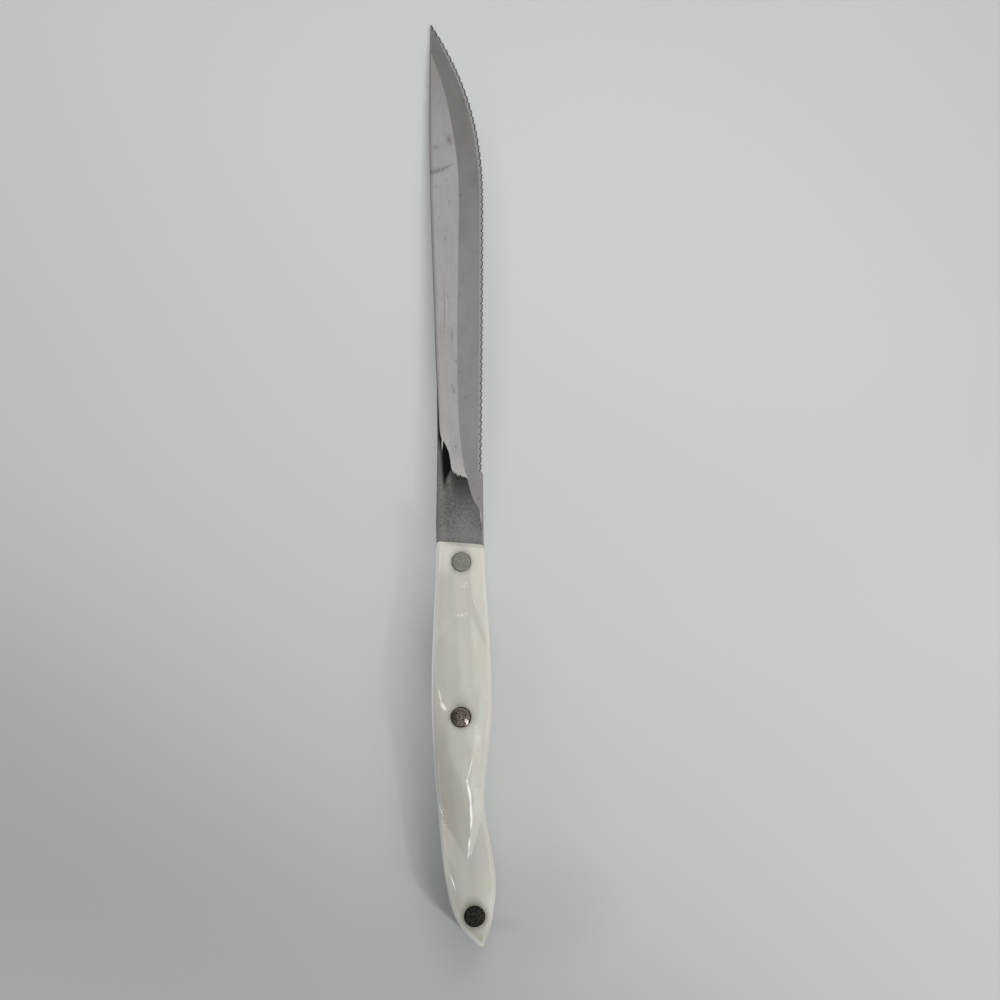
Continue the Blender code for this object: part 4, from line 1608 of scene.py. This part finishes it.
@dataclass
class Rivet:
    """Two-part rivet: a pin with its head on top, pressed into a sleeve with its head below."""

    name: str
    tarnish: Tarnish
    crown: float
    proud: float = 0.0
    radius: float = 0.0035
    head: float = 0.0009
    barrel: float = 0.0021
    bore: float = 0.0014
    play: float = 0.00008
    halo: float = 0.30
    rim: float = 0.00022
    rim_rise: float = 0.7
    # How far the seat is cut above the rivet and below the scale's inner face
    cut_above: float = 0.004
    cut_below: float = 0.001
    # How far the shanks of the pin and of the sleeve end short of the other head
    pin_short: float = 0.0002
    sleeve_short: float = 0.0001
    segments: int = 96
    crown_rings: int = 7
    crease_angle: float = 40
    middle: Vector = field(default_factory=Vector)
    top: float = 0.0

    def locate(self) -> None:
        """Take the rivet's place and height from its CAD nodes."""
        low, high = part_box(f"{self.name}_rivet_pin")
        self.middle = (low + high) / 2
        self.top = high.z

    def away(self, paint: Paint) -> Wire:
        """Measure the distance from the rivet's middle, in shares of its radius."""
        return paint.spot((self.middle.x, self.middle.y), (self.radius, self.radius))

    def blank(self, name: str, radius: float, shank: float,
              ends: tuple[float, float, float]) -> bpy.types.Object:
        """Turn a round head with a thinner shank under it.

        Args:
            name: Name of the piece.
            radius: Radius of the head.
            shank: Radius of the shank.
            ends: Heights of the head's top, of its underside and of the shank's end.

        Returns:
            The blank.
        """
        top, under, foot = ends
        bpy.ops.object.select_all(action="DESELECT")
        place = (self.middle.x, self.middle.y, (top + under) / 2)
        bpy.ops.mesh.primitive_cylinder_add(vertices=self.segments, radius=radius, depth=top - under,
                                            end_fill_type="NGON", location=place)
        piece = Bench.added(name)
        Bench.pick_faces(piece, lambda face: face.normal.z < -LEVEL_FACE)
        bpy.ops.mesh.inset(thickness=radius - shank)
        bpy.ops.mesh.extrude_region_move(TRANSFORM_OT_translate={"value": (0, 0, foot - under)})
        bpy.ops.object.mode_set(mode="OBJECT")
        return piece

    def seat_cutter(self, seat: float, middle: float) -> bpy.types.Object:
        """Turn the shape that a scale loses where the rivet sits.

        Args:
            seat: Height of the scale's inner face above the middle plane.
            middle: Height of the middle plane.

        Returns:
            The cutter.
        """
        under = self.top + self.proud - self.crown - self.head
        ends = (self.top + self.cut_above, under, middle + seat - self.cut_below)
        return self.blank("seat_cutter", self.radius + self.play, self.barrel + self.play, ends)

    def raise_crown(self, piece: bpy.types.Object, top: float) -> None:
        """Break the head's rim and raise its crown ring by ring.

        Args:
            piece: Blank of the rivet.
            top: Height of the head's rim.
        """
        rim_height = self.rim * self.rim_rise
        inner = self.radius - self.rim
        Bench.pick_faces(piece, lambda face: face.normal.z > LEVEL_FACE and face.center.z > top - self.play)
        bpy.ops.mesh.inset(thickness=self.rim, depth=rim_height)
        radii = np.linspace(inner, inner / (self.crown_rings + 1), self.crown_rings + 1)
        heights = (self.crown - rim_height) * (1 - (radii / inner) ** 2)
        for narrower, higher in zip(-np.diff(radii), np.diff(heights)):
            bpy.ops.mesh.inset(thickness=float(narrower), depth=float(higher))
        bpy.ops.object.mode_set(mode="OBJECT")

    def build(self, axes: KnifeAxes) -> dict[str, bpy.types.Object]:
        """Model the pin and the sleeve.

        Args:
            axes: Where the knife lies.

        Returns:
            The two pieces by their CAD nodes.
        """
        rim_top = self.top + self.proud - self.crown
        under = rim_top - self.head
        foot = 2 * axes.middle - under
        pin = self.blank(f"{self.name}_pin", self.radius, self.bore - self.play,
                         (rim_top, under, foot + self.pin_short))
        self.raise_crown(pin, rim_top)
        sleeve = self.blank(f"{self.name}_sleeve", self.radius, self.barrel,
                            (rim_top, under, foot + self.sleeve_short))
        self.raise_crown(sleeve, rim_top)
        Bench.pick_faces(sleeve, lambda face: face.normal.z < -LEVEL_FACE and face.center.z < axes.middle)
        bpy.ops.mesh.inset(thickness=self.barrel - self.bore)
        bore_depth = under - foot - self.pin_short
        bpy.ops.mesh.extrude_region_move(TRANSFORM_OT_translate={"value": (0, 0, bore_depth)})
        bpy.ops.object.mode_set(mode="OBJECT")
        Bench.flip(sleeve, axes.middle)
        Bench.point_outwards(pin)
        return {f"{self.name}_rivet_pin": pin, f"{self.name}_rivet_sleeve": sleeve}

    def dress(self, pieces: dict[str, bpy.types.Object]) -> None:
        """Give the pin and the sleeve their metal.

        Args:
            pieces: The two pieces by their CAD nodes.
        """
        metal = NickelSilver(self.tarnish).make(self)
        for node, piece in pieces.items():
            Bench.dress(piece, node, Slot.RIVET, metal, self.crease_angle)


@dataclass(frozen=True)
class Lamp:
    """Soft rectangular lamp, which polished surfaces mirror or not."""

    name: str
    place: tuple[float, float, float]
    target: tuple[float, float, float]
    size: tuple[float, float]
    power: float
    mirrored: bool = True

    def hang(self) -> None:
        """Hang the lamp at its place so that it faces its target."""
        data = bpy.data.lights.new(self.name, "AREA")
        data.shape = "RECTANGLE"
        data.size, data.size_y = self.size
        data.energy = self.power
        lamp = bpy.data.objects.new(self.name, data)
        bpy.context.scene.collection.objects.link(lamp)
        lamp.location = self.place
        way = Vector(self.target) - Vector(self.place)
        lamp.rotation_euler = way.to_track_quat("-Z", "Y").to_euler()
        lamp.visible_glossy = self.mirrored


@dataclass
class Studio:
    """Table, soft light and camera."""

    # Width of the view, and the height that it is measured at
    view_width: float = 0.3315
    view_height: float = 0.008
    lens: float = 300.0
    sensor: float = 36.0
    centre: tuple[float, float] = (0.0132, -0.0049)
    roll: float = 0.72
    table_size: float = 20.0
    # Place along the frame and height of the table top, level under the handle and rising to the tip
    table_line: Points = ((-10.0, -0.0004), (-0.0670, -0.0004), (-0.0300, 0.0012), (0.0600, 0.0044),
                          (0.1500, 0.0076), (0.2000, 0.0088), (0.3000, 0.0095), (10.0, 0.0095))
    table_rows: int = 400
    table_near: float = 0.35
    sky_axis: tuple[float, float, float] = (1.0, 0.10, 0.0)
    # Light of the sky from one end of its axis to the other
    sky: Points = ((0.0, 0.10), (0.25, 0.22), (0.475, 0.70), (0.505, 0.68), (0.585, 0.48), (0.68, 0.55),
                   (0.85, 0.60), (1.0, 0.65))
    lamps: tuple[Lamp, ...] = (
        Lamp("fill", (0.14, 0.24, 0.30), (0.0, 0.0, 0.0), (0.25, 0.25), 0.66, mirrored=False),
        Lamp("window", (0.93, -1.00, 0.93), (0.0, -0.05, 0.0), (0.20, 1.00), 9.8, mirrored=False),
        Lamp("key", (0.57, -0.66, 0.53), (0.0, -0.08, 0.0), (0.07, 0.07), 2.1))

    def lay_table(self) -> None:
        """Lay the table under the handle's lower panel and, higher up, near the blade's tip."""
        reach = self.table_size / 2
        along = np.linspace(-self.table_near, self.table_near, self.table_rows)
        along = column(np.concatenate([[-reach], along, [reach]]))
        across = np.array([[-reach, reach]])
        sheet = FRAME_AXES.placed(across, along, smooth_line(self.table_line, along))
        table = Bench.grid("table", sheet, {})
        bpy.ops.object.shade_smooth()
        table.data.materials.append(PaleTable().make())

    def light(self) -> None:
        """Set the sky, which is bright on the edge side and dim on the spine side, and the lamps."""
        world = bpy.data.worlds.new("studio")
        bpy.context.scene.world = world
        world.use_nodes = True
        sky = NodeTools(world.node_tree)
        where = sky.node("ShaderNodeTexCoord", {}, {}, "Generated")
        half_axis = tuple(Vector(self.sky_axis).normalized() / 2)
        sockets = {"Vector": where, "Vector_001": half_axis}
        lean = sky.node("ShaderNodeVectorMath", {"operation": "DOT_PRODUCT"}, sockets, "Value")
        tone = sky.node("ShaderNodeValToRGB", {"stops": self.sky}, {"Fac": lean + 0.5})
        glow = sky.node("ShaderNodeBackground", {}, {"Color": tone})
        sky.node("ShaderNodeOutputWorld", {}, {"Surface": glow})
        for lamp in self.lamps:
            lamp.hang()

    def set_camera(self) -> None:
        """Hang the camera straight above the knife."""
        data = bpy.data.cameras.new("camera")
        data.lens, data.sensor_width = self.lens, self.sensor
        camera = bpy.data.objects.new("camera", data)
        bpy.context.scene.collection.objects.link(camera)
        distance = self.view_width / 2 / (self.sensor / 2 / self.lens)
        camera.location = (*self.centre, self.view_height + distance)
        camera.rotation_euler = (0, 0, math.radians(-self.roll))
        bpy.context.scene.camera = camera
        bpy.context.scene.view_settings.view_transform = "Standard"


def read_axes(blade: Blade) -> KnifeAxes:
    """Find the knife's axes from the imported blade."""
    low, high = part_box("blade")
    return KnifeAxes(low.x + blade.handle.palm_spine_swell, high.y - blade.length, (low.z + high.z) / 2)


def main() -> None:
    """Build, dress and stage the knife."""
    logging.basicConfig(level=logging.INFO, format="%(name)s %(message)s")
    handle = Handle()
    blade = Blade(handle)
    axes = read_axes(blade)
    rivets = [Rivet("front", Tarnish.CLEAN, crown=0.00020, proud=-0.0004, radius=0.00318),
              Rivet("middle", Tarnish.BROWN, crown=0.0009, proud=0.00045, radius=0.00342),
              Rivet("rear", Tarnish.BLACK, crown=0.00035, proud=-0.0006, halo=0.55)]
    for rivet in rivets:
        rivet.locate()
    blade.dress(blade.build(axes), axes)
    scales = Scales(handle)
    scales.dress(scales.build(axes, rivets), axes, rivets)
    for rivet in rivets:
        rivet.dress(rivet.build(axes))
    studio = Studio()
    studio.lay_table()
    studio.light()
    studio.set_camera()


if __name__ == "__main__":
    main()
